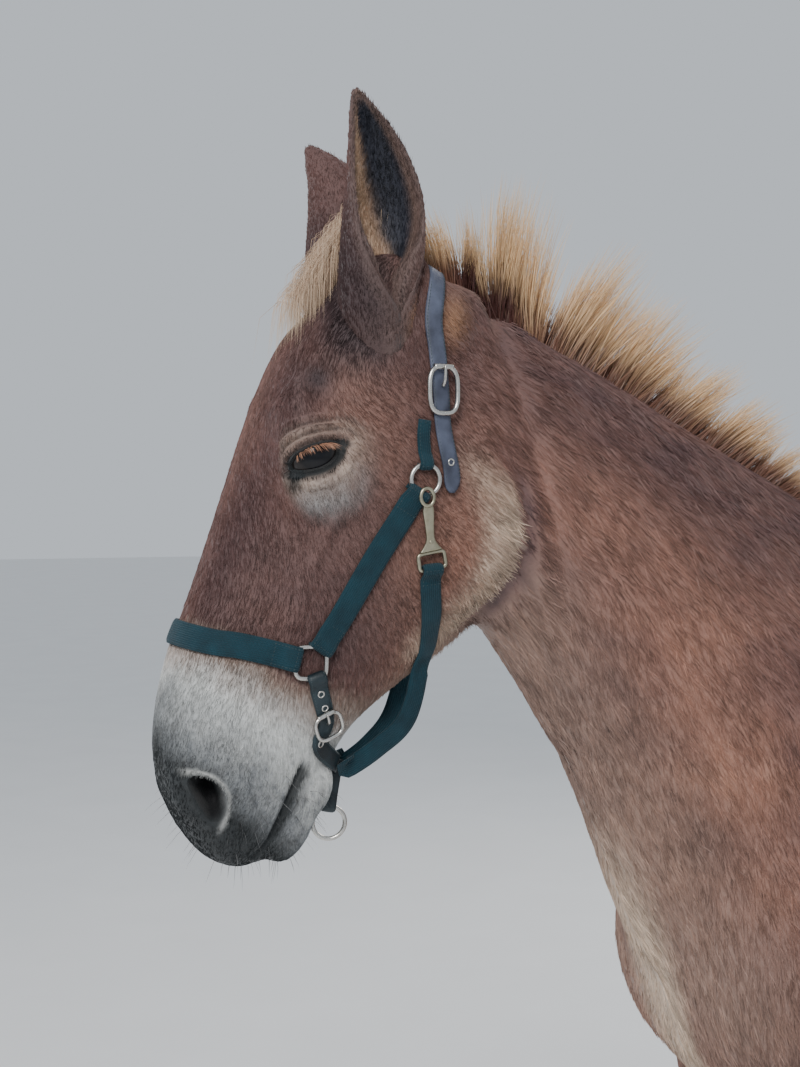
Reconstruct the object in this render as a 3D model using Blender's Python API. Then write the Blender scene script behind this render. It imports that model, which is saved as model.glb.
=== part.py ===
"""A life-size standing mule in a halter: chestnut coat, pale muzzle, flaxen mane and tail.

Metres, +Z up. The mule faces -X and its left side is towards -Y. The flesh is modelled whole as tubes of
slices and rounded masses, fused into one surface, and parted by thin cuts into head, neck, torso and legs.
"""

import math

import bmesh
import bpy
import numpy as np
from mathutils import Matrix, Vector
from mathutils.bvhtree import BVHTree

# Driving sizes of the animal.
WITHERS_HEIGHT = 1.54
POLL = Vector((-0.866, 0.0, 1.790))  # top of the head between the ears
FACE_SLOPE = math.radians(70.2)  # how steeply the face line runs down from the poll
FORE_FOOT_X = -0.455
HIND_FOOT_X = 0.705
FORE_SPREAD = 0.125  # each front leg from the middle plane
HIND_SPREAD = 0.135

# How the surface is made and divided.
GAP = 0.0003  # between nodes that touch
BODY_VOXEL = 0.011
HEAD_VOXEL = 0.0045
RING_POINTS = 40

SKIN_COLOUR = (0.30, 0.115, 0.055)
FLAXEN_COLOUR = (0.70, 0.47, 0.24)
EAR_COLOUR = (0.20, 0.11, 0.08)
EYE_COLOUR = (0.02, 0.013, 0.01)
HOOF_COLOUR = (0.09, 0.075, 0.06)
WEBBING_COLOUR = (0.004, 0.075, 0.085)
LEATHER_COLOUR = (0.045, 0.035, 0.04)
METAL_COLOUR = (0.72, 0.70, 0.66)


def clear_scene():
    for thing in list(bpy.data.objects):
        bpy.data.objects.remove(thing)


def finish_material(name, colour, roughness, metallic=0.0):
    material = bpy.data.materials.new(name)
    material.use_nodes = True
    shader = material.node_tree.nodes["Principled BSDF"]
    shader.inputs["Base Color"].default_value = (*colour, 1.0)
    shader.inputs["Roughness"].default_value = roughness
    shader.inputs["Metallic"].default_value = metallic
    return material


def make_object(name, points, faces):
    mesh = bpy.data.meshes.new(name)
    mesh.from_pydata([tuple(p) for p in points], [], faces)
    made = bpy.data.objects.new(name, mesh)
    bpy.context.scene.collection.objects.link(made)
    return made


def apply_modifiers(thing):
    """Leaves the object with its evaluated mesh and no modifiers."""
    graph = bpy.context.evaluated_depsgraph_get()
    mesh = bpy.data.meshes.new_from_object(thing.evaluated_get(graph))
    thing.modifiers.clear()
    thing.data = mesh
    return thing


def smooth_rows(rows, steps):
    """Rows of sizes with more rows between them, on a curve that passes through each one."""
    rows = np.array(rows, float)
    padded = np.vstack([2 * rows[0] - rows[1], rows, 2 * rows[-1] - rows[-2]])
    filled = []
    for i in range(len(rows) - 1):
        a, b, c, d = padded[i : i + 4]
        for t in np.arange(steps) / steps:
            cubic = 2 * a - 5 * b + 4 * c - d + t * (3 * b - a - 3 * c + d)
            filled.append(b + 0.5 * t * (c - a + t * cubic))
    filled.append(rows[-1])
    return np.array(filled)


def slice_ring(row, side=0.0, count=RING_POINTS):
    """One closed slice: from its top point to its bottom point, with a width at the top, middle and bottom.

    A row is top x, top z, bottom x, bottom z, the three half widths and how square the slice is."""
    top = np.array([row[0], 0.0, row[1]])
    bottom = np.array([row[2], 0.0, row[3]])
    width_top, width_mid, width_low, square = row[4:8]
    angle = np.arange(count) * 2 * np.pi / count
    across = np.sign(np.cos(angle)) * np.abs(np.cos(angle)) ** (2 / square)
    level = np.sign(np.sin(angle)) * np.abs(np.sin(angle)) ** (2 / square)
    width = (
        width_mid
        + (width_top - width_low) / 2 * level
        + ((width_top + width_low) / 2 - width_mid) * level**2
    )
    points = (top + bottom) / 2 + np.outer(level, (top - bottom) / 2)
    points[:, 1] += across * width + side
    return points


def tube_object(name, rings):
    """A closed tube through rings of equal length, with a flat face at each end."""
    count = len(rings[0])
    points = np.vstack(rings)
    faces = []
    for r in range(len(rings) - 1):
        for k in range(count):
            here, after = r * count + k, r * count + (k + 1) % count
            faces.append((here, after, after + count, here + count))
    faces.append(tuple(range(count))[::-1])
    faces.append(tuple((len(rings) - 1) * count + k for k in range(count)))
    made = make_object(name, points, faces)
    face_outwards(made)
    return made


def face_outwards(thing):
    shape = bmesh.new()
    shape.from_mesh(thing.data)
    bmesh.ops.recalc_face_normals(shape, faces=shape.faces)
    shape.to_mesh(thing.data)
    shape.free()


def sliced_tube(name, rows, side=0.0, steps=4, count=RING_POINTS):
    return tube_object(name, [slice_ring(row, side, count) for row in smooth_rows(rows, steps)])


def rounded_mass(name, centre, radii, tilt=0.0, turn=0.0):
    """An egg-shaped mass, tilted in the side view and turned about the vertical, in degrees."""
    shape = bmesh.new()
    bmesh.ops.create_icosphere(shape, subdivisions=3, radius=1.0)
    place = (
        Matrix.Translation(centre)
        @ Matrix.Rotation(math.radians(turn), 4, "Z")
        @ Matrix.Rotation(math.radians(tilt), 4, "Y")
        @ Matrix.Diagonal((*radii, 1.0))
    )
    bmesh.ops.transform(shape, matrix=place, verts=shape.verts)
    mesh = bpy.data.meshes.new(name)
    shape.to_mesh(mesh)
    shape.free()
    made = bpy.data.objects.new(name, mesh)
    bpy.context.scene.collection.objects.link(made)
    return made


def pair_of_masses(name, centre, radii, tilt=0.0, turn=0.0):
    x, y, z = centre
    return [
        rounded_mass(name, (x, -y, z), radii, tilt, turn),
        rounded_mass(name, (x, y, z), radii, tilt, -turn),
    ]


def fuse(name, things, voxel):
    """One closed surface round all the things, which are used up."""
    shape = bmesh.new()
    for thing in things:
        shape.from_mesh(thing.data)
        bpy.data.objects.remove(thing)
    mesh = bpy.data.meshes.new(name)
    shape.to_mesh(mesh)
    shape.free()
    made = bpy.data.objects.new(name, mesh)
    bpy.context.scene.collection.objects.link(made)
    remesh = made.modifiers.new("one surface", "REMESH")
    remesh.mode = "VOXEL"
    remesh.voxel_size = voxel
    return apply_modifiers(made)


def soften(thing, strength, rounds, factor=0.5):
    """Smooths the surface, by a strength from 0 to 1 that is worked out from each point's place."""
    points = points_of(thing)
    group = thing.vertex_groups.new(name="softness")
    weights = np.clip(strength(points), 0.0, 1.0)
    for level in np.unique(np.round(weights, 1)):
        chosen = np.flatnonzero(np.round(weights, 1) == level)
        group.add(chosen.tolist(), float(level), "REPLACE")
    smooth = thing.modifiers.new("soften", "SMOOTH")
    smooth.factor = factor
    smooth.iterations = rounds
    smooth.vertex_group = group.name
    apply_modifiers(thing)
    thing.vertex_groups.clear()


def points_of(thing):
    flat = np.empty(len(thing.data.vertices) * 3)
    thing.data.vertices.foreach_get("co", flat)
    return flat.reshape(-1, 3)


def ramp(values, start, end):
    """0 before start, 1 after end, and a smooth rise between them."""
    t = np.clip((values - start) / (end - start), 0.0, 1.0)
    return t * t * (3 - 2 * t)


def head_point(along, front, side=0.0):
    """A place on the head: along from poll to lips, front towards the face, side towards the right."""
    down = Vector((-math.cos(FACE_SLOPE), 0.0, -math.sin(FACE_SLOPE)))
    out = Vector((-math.sin(FACE_SLOPE), 0.0, math.cos(FACE_SLOPE)))
    return POLL + down * along + out * front + Vector((0.0, side, 0.0))


def head_row(along, front, back, width_top, width_mid, width_low, square, lean=0.0):
    """A slice across the head, as a row for slice_ring. Lean shifts its back edge along the head."""
    top, bottom = head_point(along, front), head_point(along + lean, back)
    return (top.x, top.z, bottom.x, bottom.z, width_top, width_mid, width_low, square)


# Slices of the trunk from the breast to the buttocks, as slice_ring reads them.
TRUNK_ROWS = [
    (-0.600, 1.300, -0.545, 1.000, 0.060, 0.115, 0.085, 2.2),
    (-0.555, 1.390, -0.510, 0.935, 0.085, 0.170, 0.130, 2.2),
    (-0.475, 1.480, -0.440, 0.865, 0.090, 0.205, 0.155, 2.2),
    (-0.360, 1.535, -0.350, 0.815, 0.065, 0.225, 0.165, 2.1),
    (-0.240, WITHERS_HEIGHT, -0.230, 0.790, 0.062, 0.245, 0.185, 2.1),
    (-0.100, 1.505, -0.100, 0.780, 0.100, 0.268, 0.205, 2.1),
    (0.060, 1.468, 0.060, 0.778, 0.150, 0.284, 0.215, 2.1),
    (0.220, 1.462, 0.220, 0.800, 0.165, 0.288, 0.210, 2.1),
    (0.370, 1.485, 0.380, 0.860, 0.165, 0.272, 0.185, 2.1),
    (0.510, 1.510, 0.530, 0.950, 0.150, 0.250, 0.150, 2.1),
    (0.650, 1.495, 0.670, 1.020, 0.130, 0.225, 0.130, 2.1),
    (0.780, 1.435, 0.780, 1.080, 0.090, 0.175, 0.110, 2.1),
    (0.850, 1.360, 0.845, 1.130, 0.055, 0.110, 0.080, 2.1),
]

# Slices of the neck from behind the ears to the shoulders: crest point, throat point, widths.
NECK_ROWS = [
    (-0.885, 1.775, -0.860, 1.600, 0.046, 0.070, 0.056, 2.1),
    (-0.805, 1.812, -0.815, 1.500, 0.044, 0.086, 0.068, 2.1),
    (-0.700, 1.775, -0.762, 1.425, 0.042, 0.098, 0.078, 2.1),
    (-0.590, 1.718, -0.706, 1.338, 0.044, 0.112, 0.092, 2.1),
    (-0.480, 1.655, -0.660, 1.250, 0.050, 0.132, 0.112, 2.1),
    (-0.370, 1.595, -0.630, 1.165, 0.056, 0.156, 0.135, 2.1),
    (-0.270, 1.530, -0.590, 1.080, 0.060, 0.185, 0.150, 2.1),
]

# Slices of a front leg: front edge, back edge, then half widths.
FORE_LEG_ROWS = [
    (-0.520, 1.120, -0.290, 1.060, 0.070, 0.087, 0.070, 2.1),
    (-0.490, 0.960, -0.280, 0.900, 0.065, 0.084, 0.060, 2.1),
    (-0.472, 0.830, -0.310, 0.830, 0.052, 0.072, 0.051, 2.1),
    (-0.462, 0.700, -0.342, 0.700, 0.042, 0.058, 0.039, 2.1),
    (-0.452, 0.580, -0.362, 0.580, 0.037, 0.046, 0.032, 2.2),
    (-0.456, 0.505, -0.360, 0.505, 0.041, 0.048, 0.035, 2.3),
    (-0.457, 0.455, -0.358, 0.455, 0.043, 0.050, 0.037, 2.4),
    (-0.444, 0.400, -0.362, 0.395, 0.032, 0.039, 0.028, 2.2),
    (-0.436, 0.330, -0.366, 0.330, 0.026, 0.030, 0.020, 2.1),
    (-0.436, 0.260, -0.364, 0.260, 0.026, 0.031, 0.021, 2.1),
    (-0.446, 0.208, -0.352, 0.196, 0.035, 0.041, 0.030, 2.1),
    (-0.458, 0.165, -0.375, 0.145, 0.032, 0.038, 0.030, 2.1),
    (-0.478, 0.125, -0.400, 0.100, 0.035, 0.039, 0.035, 2.1),
    (-0.500, 0.092, -0.412, 0.068, 0.042, 0.049, 0.044, 2.1),
    (-0.512, 0.060, -0.412, 0.035, 0.046, 0.053, 0.046, 2.1),
]

# Slices of a hind leg, in the same order.
HIND_LEG_ROWS = [
    (0.400, 1.180, 0.850, 1.230, 0.081, 0.122, 0.081, 2.1),
    (0.400, 1.060, 0.825, 1.080, 0.081, 0.130, 0.074, 2.1),
    (0.432, 0.940, 0.790, 0.990, 0.077, 0.116, 0.065, 2.1),
    (0.495, 0.840, 0.762, 0.905, 0.063, 0.090, 0.051, 2.1),
    (0.570, 0.745, 0.768, 0.815, 0.051, 0.067, 0.037, 2.1),
    (0.652, 0.665, 0.792, 0.720, 0.039, 0.051, 0.026, 2.1),
    (0.715, 0.605, 0.846, 0.650, 0.039, 0.048, 0.023, 2.2),
    (0.733, 0.550, 0.858, 0.570, 0.042, 0.049, 0.028, 2.3),
    (0.736, 0.490, 0.838, 0.480, 0.037, 0.043, 0.030, 2.2),
    (0.737, 0.410, 0.818, 0.400, 0.028, 0.032, 0.022, 2.1),
    (0.732, 0.310, 0.806, 0.305, 0.027, 0.032, 0.022, 2.1),
    (0.720, 0.222, 0.812, 0.206, 0.035, 0.042, 0.032, 2.1),
    (0.704, 0.172, 0.788, 0.152, 0.034, 0.039, 0.031, 2.1),
    (0.684, 0.128, 0.762, 0.104, 0.036, 0.041, 0.036, 2.1),
    (0.660, 0.092, 0.750, 0.068, 0.042, 0.049, 0.044, 2.1),
    (0.648, 0.060, 0.748, 0.035, 0.046, 0.053, 0.046, 2.1),
]

# Slices of the head: along, face line, jaw line, three half widths, squareness, lean of the jaw end.
HEAD_ROWS = [
    head_row(-0.035, 0.020, -0.085, 0.036, 0.052, 0.040, 2.2),
    head_row(-0.012, 0.048, -0.105, 0.060, 0.072, 0.050, 2.3, 0.03),
    head_row(0.030, 0.082, -0.130, 0.078, 0.084, 0.056, 2.4, 0.06),
    head_row(0.075, 0.103, -0.150, 0.084, 0.090, 0.058, 2.5, 0.06),
    head_row(0.130, 0.110, -0.188, 0.084, 0.092, 0.054, 2.5, 0.04),
    head_row(0.190, 0.111, -0.199, 0.074, 0.088, 0.050, 2.5, 0.02),
    head_row(0.250, 0.110, -0.194, 0.060, 0.080, 0.044, 2.5),
    head_row(0.310, 0.110, -0.170, 0.048, 0.069, 0.038, 2.4, -0.01),
    head_row(0.365, 0.110, -0.132, 0.042, 0.060, 0.034, 2.4, -0.01),
    head_row(0.410, 0.111, -0.098, 0.044, 0.060, 0.036, 2.3),
    head_row(0.455, 0.104, -0.084, 0.050, 0.064, 0.038, 2.3),
    head_row(0.495, 0.093, -0.080, 0.054, 0.067, 0.040, 2.3),
    head_row(0.532, 0.073, -0.074, 0.048, 0.062, 0.038, 2.2),
    head_row(0.562, 0.044, -0.056, 0.038, 0.050, 0.032, 2.1),
    head_row(0.583, 0.010, -0.036, 0.022, 0.030, 0.020, 2.0),
]

EYE_RADIUS = 0.0255
EYE_PLACE = (0.181, 0.053, 0.0780)  # along, front, side of the eyeball's centre
LID_RADIUS = 0.0320
EYE_CORNERS = ((0.209, 0.076), (0.154, 0.030))  # along and front of the inner and outer corners


def head_mass(name, place, radii, tilt=0.0, turn=0.0):
    """A mass on each side of the head. Its radii are along the head, across it and front to back."""
    spot = head_point(*place[:2])
    upright = math.degrees(FACE_SLOPE) + tilt
    return pair_of_masses(name, (spot.x, place[2], spot.z), radii, -upright, turn)


def skull_forms():
    """The skull, jaws and muzzle with their large masses, as overlapping closed forms."""
    forms = [sliced_tube("skull", HEAD_ROWS, steps=5)]
    forms += head_mass("cheek", (0.190, -0.080, 0.044), (0.115, 0.038, 0.105))
    forms += head_mass("orbit", (0.180, 0.030, 0.046), (0.080, 0.058, 0.062), tilt=20)
    forms += head_mass("brow", (0.160, 0.062, 0.064), (0.055, 0.030, 0.032), tilt=38)
    forms += head_mass("cheek bone", (0.265, 0.010, 0.058), (0.100, 0.017, 0.016), tilt=10)
    forms += head_mass("ear root", (0.006, 0.024, 0.044), (0.050, 0.032, 0.050))
    forms += head_mass("nostril wing", (0.505, 0.034, 0.038), (0.050, 0.028, 0.046))
    forms += head_mass("upper lip", (0.526, -0.004, 0.026), (0.055, 0.032, 0.046))
    return forms


def small_head_forms():
    """The lids and lips, which keep more of their shape."""
    forms = head_mass("lids", EYE_PLACE, (0.036, LID_RADIUS, LID_RADIUS), tilt=30)
    forms += head_mass("upper lip rim", (0.546, -0.014, 0.022), (0.036, 0.024, 0.026))
    forms += head_mass("lip side", (0.494, -0.024, 0.038), (0.050, 0.018, 0.022))
    forms += head_mass("lower lip", (0.518, -0.060, 0.016), (0.050, 0.028, 0.024))
    forms += head_mass("chin", (0.486, -0.070, 0.008), (0.034, 0.030, 0.024))
    return forms


def body_forms():
    """The trunk, neck, legs and the masses of muscle over them."""
    forms = [sliced_tube("trunk", TRUNK_ROWS), sliced_tube("neck", NECK_ROWS)]
    for side in (-1, 1):
        forms.append(sliced_tube("front leg", FORE_LEG_ROWS, side * FORE_SPREAD))
        forms.append(sliced_tube("hind leg", HIND_LEG_ROWS, side * HIND_SPREAD))
    forms += pair_of_masses("shoulder blade", (-0.395, 0.116, 1.220), (0.215, 0.066, 0.125), tilt=-62)
    forms += pair_of_masses("shoulder point", (-0.465, 0.130, 1.090), (0.100, 0.090, 0.120))
    forms += pair_of_masses("triceps", (-0.350, 0.160, 1.060), (0.125, 0.068, 0.165), tilt=25)
    forms += pair_of_masses("breast", (-0.510, 0.070, 1.085), (0.070, 0.090, 0.130))
    forms += pair_of_masses("rump", (0.560, 0.115, 1.300), (0.290, 0.135, 0.190), tilt=10)
    forms += pair_of_masses("thigh", (0.610, 0.145, 1.150), (0.215, 0.110, 0.260), tilt=-8)
    forms += pair_of_masses("hamstring", (0.775, 0.105, 1.180), (0.095, 0.085, 0.210), tilt=-6)
    forms += pair_of_masses("stifle", (0.490, 0.145, 0.985), (0.085, 0.062, 0.125), tilt=15)
    forms += pair_of_masses("point of hip", (0.400, 0.175, 1.365), (0.085, 0.060, 0.075))
    return forms


def body_softness(points):
    """Full on the trunk, fading down the legs, whose joints stay crisp."""
    return 0.12 + 0.88 * ramp(points[:, 2], 0.72, 1.0)


def whole_animal():
    """The head and the body as one closed surface."""
    body = fuse("body", body_forms(), BODY_VOXEL)
    soften(body, body_softness, 60)
    skull = fuse("skull", skull_forms(), HEAD_VOXEL)
    soften(skull, lambda points: np.ones(len(points)), 36)
    head = fuse("head", [skull, *small_head_forms()], HEAD_VOXEL)
    soften(head, lambda points: np.ones(len(points)), 7)
    whole = fuse("whole", [body, head], HEAD_VOXEL)
    down = np.array(head_point(1, 0) - head_point(0, 0))
    out = np.array(head_point(0, 1) - head_point(0, 0))
    poll = np.array(POLL)

    def seam_softness(points):
        """Strong behind the jaw and ears, where head and neck blend, and slight elsewhere."""
        along = (points - poll) @ down
        front = (points - poll) @ out
        behind = ramp(-front, 0.0, 0.05) * ramp(-along, -0.42, -0.30)
        jaw = ramp(front, -0.20, -0.12) * ramp(along, 0.10, 0.18)
        return 0.06 + 0.94 * behind * (1 - jaw)

    soften(whole, seam_softness, 36)
    return whole


def half_kept(thing, point, normal, name):
    """A copy of a closed mesh, less all that lies on the side of a plane that the normal points to."""
    shape = bmesh.new()
    shape.from_mesh(thing.data)
    everything = shape.verts[:] + shape.edges[:] + shape.faces[:]
    direction = Vector(normal).normalized()
    cut = bmesh.ops.bisect_plane(
        shape,
        geom=everything,
        plane_co=Vector(point) - direction * (GAP / 2),
        plane_no=direction,
        clear_outer=True,
    )
    rim = [edge for edge in cut["geom_cut"] if isinstance(edge, bmesh.types.BMEdge)]
    bmesh.ops.holes_fill(shape, edges=rim)
    mesh = bpy.data.meshes.new(name)
    shape.to_mesh(mesh)
    shape.free()
    made = bpy.data.objects.new(name, mesh)
    bpy.context.scene.collection.objects.link(made)
    return made


def parted(thing, point, normal, behind, ahead):
    """Two objects from one, with a thin gap at the plane: the part behind it, and the part ahead."""
    first = half_kept(thing, point, normal, behind)
    second = half_kept(thing, point, -Vector(normal), ahead)
    bpy.data.objects.remove(thing)
    return first, second


def loose_pieces(thing, name):
    """Each separate closed surface of an object as an object of its own, and the object is used up."""
    shape = bmesh.new()
    shape.from_mesh(thing.data)
    bpy.data.objects.remove(thing)
    left = set(shape.verts)
    pieces = []
    while left:
        seed = left.pop()
        found, edge = {seed}, [seed]
        while edge:
            vertex = edge.pop()
            for link in vertex.link_edges:
                other = link.other_vert(vertex)
                if other in left:
                    left.discard(other)
                    found.add(other)
                    edge.append(other)
        pieces.append(found)
    made = []
    for k, found in enumerate(pieces):
        numbers = {vertex: i for i, vertex in enumerate(sorted(found, key=lambda v: v.index))}
        faces = [
            tuple(numbers[v] for v in face.verts)
            for face in sorted({f for v in found for f in v.link_faces}, key=lambda f: f.index)
        ]
        points = [v.co.copy() for v in numbers]
        made.append(make_object(f"{name} {k}", points, faces))
    shape.free()
    return made


def simplify(thing, triangles):
    """Brings a closed mesh down to about this many triangles."""
    shape = bmesh.new()
    shape.from_mesh(thing.data)
    bmesh.ops.triangulate(shape, faces=shape.faces)
    shape.to_mesh(thing.data)
    count = len(shape.faces)
    shape.free()
    if count > triangles:
        fewer = thing.modifiers.new("fewer faces", "DECIMATE")
        fewer.ratio = triangles / count
        fewer.use_collapse_triangulate = True
        apply_modifiers(thing)
    return thing


# Planes that part the flesh: a point, and a normal that points to the node that lies behind.
NECK_CUT = (Vector((-0.790, 0.0, 1.830)), Vector((0.50, 0.0, 0.10)))
TRUNK_CUT = (Vector((-0.300, 0.0, 1.560)), Vector((0.39, 0.0, -0.33)))
LEG_CUT_HEIGHT = 0.765
KNEE_CUT_HEIGHT = 0.425
HOCK_CUT_HEIGHT = 0.505
CORONET_SLOPE = math.radians(22)
CORONET_HEIGHT = 0.056

# Triangles of each node of flesh.
HEAD_TRIANGLES = 3000
NECK_TRIANGLES = 700
TORSO_TRIANGLES = 1650
UPPER_LEG_TRIANGLES = 200
LOWER_LEG_TRIANGLES = 240


def coronet_cut(foot_x):
    """The plane between a pastern and its hoof."""
    normal = Vector((-math.sin(CORONET_SLOPE), 0.0, -math.cos(CORONET_SLOPE)))
    return Vector((foot_x, 0.0, CORONET_HEIGHT)), normal


def hoof(name, foot_x, side):
    """A hoof from its top edge, highest in front, to the flat sole, longest at the toe."""
    slope = Vector((math.cos(CORONET_SLOPE), 0.0, -math.sin(CORONET_SLOPE)))
    normal = Vector((math.sin(CORONET_SLOPE), 0.0, math.cos(CORONET_SLOPE)))
    top_centre = Vector((foot_x - 0.002, 0.0, CORONET_HEIGHT)) - normal * GAP / 2
    levels = 3
    count = 18
    rings = []
    for level in range(levels):
        down = level / (levels - 1)
        ring = []
        for k in range(count):
            angle = 2 * math.pi * k / count
            along, across = math.cos(angle), math.sin(angle)
            upper = top_centre - slope * (along * 0.054) + Vector((0, across * 0.053, 0))
            toe = 0.090 if along > 0 else 0.048
            sole = Vector((foot_x - 0.014 - along * toe, across * 0.062, 0.0))
            ring.append(upper.lerp(sole, down) + Vector((0, side, 0)))
        rings.append([tuple(p) for p in ring])
    return tube_object(name, rings)


def flesh_nodes():
    """The head, neck, torso and legs, cut from the whole animal."""
    whole = whole_animal()
    legs, upper_body = parted(whole, (0, 0, LEG_CUT_HEIGHT), (0, 0, 1), "legs", "upper body")
    head, rest = parted(upper_body, *NECK_CUT, "head", "behind head")
    neck, torso = parted(rest, *TRUNK_CUT, "neck", "torso")
    simplify(head, HEAD_TRIANGLES)
    simplify(neck, NECK_TRIANGLES)
    simplify(torso, TORSO_TRIANGLES)
    simplify(legs, 4 * (UPPER_LEG_TRIANGLES + LOWER_LEG_TRIANGLES))
    parts, hooves = [], []
    for leg in loose_pieces(legs, "leg"):
        middle = points_of(leg).mean(axis=0)
        front = middle[0] < 0
        place = f"{'front' if front else 'hind'}_{'left' if middle[1] < 0 else 'right'}"
        foot_x = FORE_FOOT_X if front else HIND_FOOT_X
        joint = KNEE_CUT_HEIGHT if front else HOCK_CUT_HEIGHT
        lower, upper = parted(leg, (0, 0, joint), (0, 0, 1), "lower", f"leg_{place}_upper")
        parts += [upper, half_kept(lower, *coronet_cut(foot_x), f"leg_{place}_lower")]
        bpy.data.objects.remove(lower)
        spread = math.copysign(FORE_SPREAD if front else HIND_SPREAD, middle[1])
        hooves.append(hoof(f"hoof_{place}", foot_x, spread))
    return head, neck, torso, parts, hooves


def inflated(thing):
    """A copy of a closed mesh that is larger all round by the gap, to cut neighbours with."""
    copy = bpy.data.objects.new(thing.name + " cutter", thing.data.copy())
    bpy.context.scene.collection.objects.link(copy)
    grow = copy.modifiers.new("grow", "DISPLACE")
    grow.mid_level = 0.0
    grow.strength = GAP
    return apply_modifiers(copy)


def boolean(thing, other, operation, solver="EXACT"):
    """Cuts or joins another object into this one, which uses the other up."""
    change = thing.modifiers.new("boolean", "BOOLEAN")
    change.operation = operation
    change.solver = solver
    change.object = other
    apply_modifiers(thing)
    bpy.data.objects.remove(other)
    return thing


def largest_surface(thing):
    """Keeps the largest closed surface of an object, and drops scraps that a cut left."""
    name = thing.name
    pieces = loose_pieces(thing, name)
    pieces.sort(key=lambda piece: len(piece.data.polygons))
    kept = pieces.pop()
    for piece in pieces:
        bpy.data.objects.remove(piece)
    kept.name = name
    return kept


def cut_clear(thing, neighbours, solver="EXACT"):
    """Cuts an object back so that it meets its neighbours face to face."""
    for neighbour in neighbours:
        boolean(thing, inflated(neighbour), "DIFFERENCE", solver)
    return largest_surface(thing)


# The eyes look outwards and a little forwards. The slit is less than half open.
EYE_FORWARD = 0.22
SLIT_LENGTH = 0.058
SLIT_ABOVE = 0.007
SLIT_BELOW = 0.011


def eye_frame(side):
    """The eyeball's centre, the way it looks, the way from its inner to its outer corner, and up."""
    along, front, out = EYE_PLACE
    centre = head_point(along, front, side * out)
    look = Vector((-EYE_FORWARD, side, 0.04)).normalized()
    inner, outer = (head_point(*corner) for corner in EYE_CORNERS)
    slit = (outer - inner).normalized()
    slit = (slit - look * slit.dot(look)).normalized()
    up = look.cross(slit).normalized()
    if up.z < 0:
        up = -up
    return centre, look, slit, up


def eyeball(name, side):
    return placed_sphere(name, eye_frame(side)[0], EYE_RADIUS)


def placed_sphere(name, centre, radius):
    shape = bmesh.new()
    bmesh.ops.create_uvsphere(shape, u_segments=14, v_segments=9, radius=radius)
    bmesh.ops.translate(shape, vec=centre, verts=shape.verts)
    mesh = bpy.data.meshes.new(name)
    shape.to_mesh(mesh)
    shape.free()
    made = bpy.data.objects.new(name, mesh)
    bpy.context.scene.collection.objects.link(made)
    return made


def eye_opening(side):
    """A cutter for the slit between the lids: an almond outline, drawn outwards from the eyeball."""
    centre, look, slit, up = eye_frame(side)
    count = 9
    outline = []
    for k in range(count):
        across = -1 + 2 * k / (count - 1)
        outline.append((across, SLIT_ABOVE * (1 - across**2)))
    for k in range(1, count - 1):
        across = 1 - 2 * k / (count - 1)
        outline.append((across, -SLIT_BELOW * (1 - across**2)))
    rings = []
    for depth, spread in ((0.008, 0.8), (0.030, 1.0), (0.045, 1.3)):
        rings.append(
            [
                tuple(centre + look * depth + slit * (a * SLIT_LENGTH / 2 * spread) + up * (h * spread))
                for a, h in outline
            ]
        )
    return tube_object("eye opening", rings)


def nostril_cutter(side):
    """A curved hollow that runs up and inwards from the nostril."""
    rings = []
    path = [
        # along, front, side, half length, half width
        (0.526, 0.035, 0.080, 0.024, 0.0140),
        (0.521, 0.035, 0.062, 0.022, 0.0125),
        (0.510, 0.036, 0.045, 0.016, 0.009),
        (0.494, 0.040, 0.032, 0.009, 0.006),
    ]
    lean = math.radians(38)
    for along, front, out, long_half, wide_half in smooth_rows(path, 2):
        ring = []
        for k in range(14):
            angle = 2 * math.pi * k / 14
            a, b = long_half * math.cos(angle), wide_half * math.sin(angle)
            ring.append(
                tuple(
                    head_point(
                        along + a * math.cos(lean) + b * math.sin(lean),
                        front - a * math.sin(lean) + b * math.cos(lean),
                        side * out,
                    )
                )
            )
        rings.append(ring)
    return tube_object("nostril hollow", rings)


MOUTH_CORNER = 0.462  # along the head
MOUTH_SLIT = 0.0024


def mouth_cutter():
    """A thin horseshoe that cuts the line of the mouth round both sides and the front."""
    outer, inner = [], []
    steps = 11
    for k in range(steps):
        turn = math.pi * (k / (steps - 1) - 0.5)
        outer.append((0.520 + 0.080 * math.cos(turn), 0.085 * math.sin(turn)))
        inner.append((0.520 + 0.042 * math.cos(turn), 0.018 * math.sin(turn)))
    outline = (
        [(MOUTH_CORNER, -0.085)] + outer + [(MOUTH_CORNER, 0.085)]
        + [(MOUTH_CORNER + 0.006, 0.028)] + inner[::-1] + [(MOUTH_CORNER + 0.006, -0.028)]
    )
    points, faces = [], []
    count = len(outline)
    for half in (-1, 1):
        for along, side in outline:
            rise = 0.007 * ramp(np.float64(along), MOUTH_CORNER, 0.575)
            points.append(head_point(along, -0.044 + rise + half * MOUTH_SLIT / 2, side))
    for k in range(count):
        after = (k + 1) % count
        faces.append((k, after, after + count, k + count))
    faces.append(tuple(range(count))[::-1])
    faces.append(tuple(range(count, 2 * count)))
    made = make_object("mouth line", points, faces)
    face_outwards(made)
    return made


def carve_head(head):
    """Opens the eye sockets, the nostrils and the mouth."""
    for side in (-1, 1):
        centre = eye_frame(side)[0]
        boolean(head, eye_opening(side), "DIFFERENCE")
        boolean(head, placed_sphere("socket", centre, EYE_RADIUS + GAP), "DIFFERENCE")
        boolean(head, nostril_cutter(side), "DIFFERENCE")
    boolean(head, mouth_cutter(), "DIFFERENCE")
    return largest_surface(head)


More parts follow.
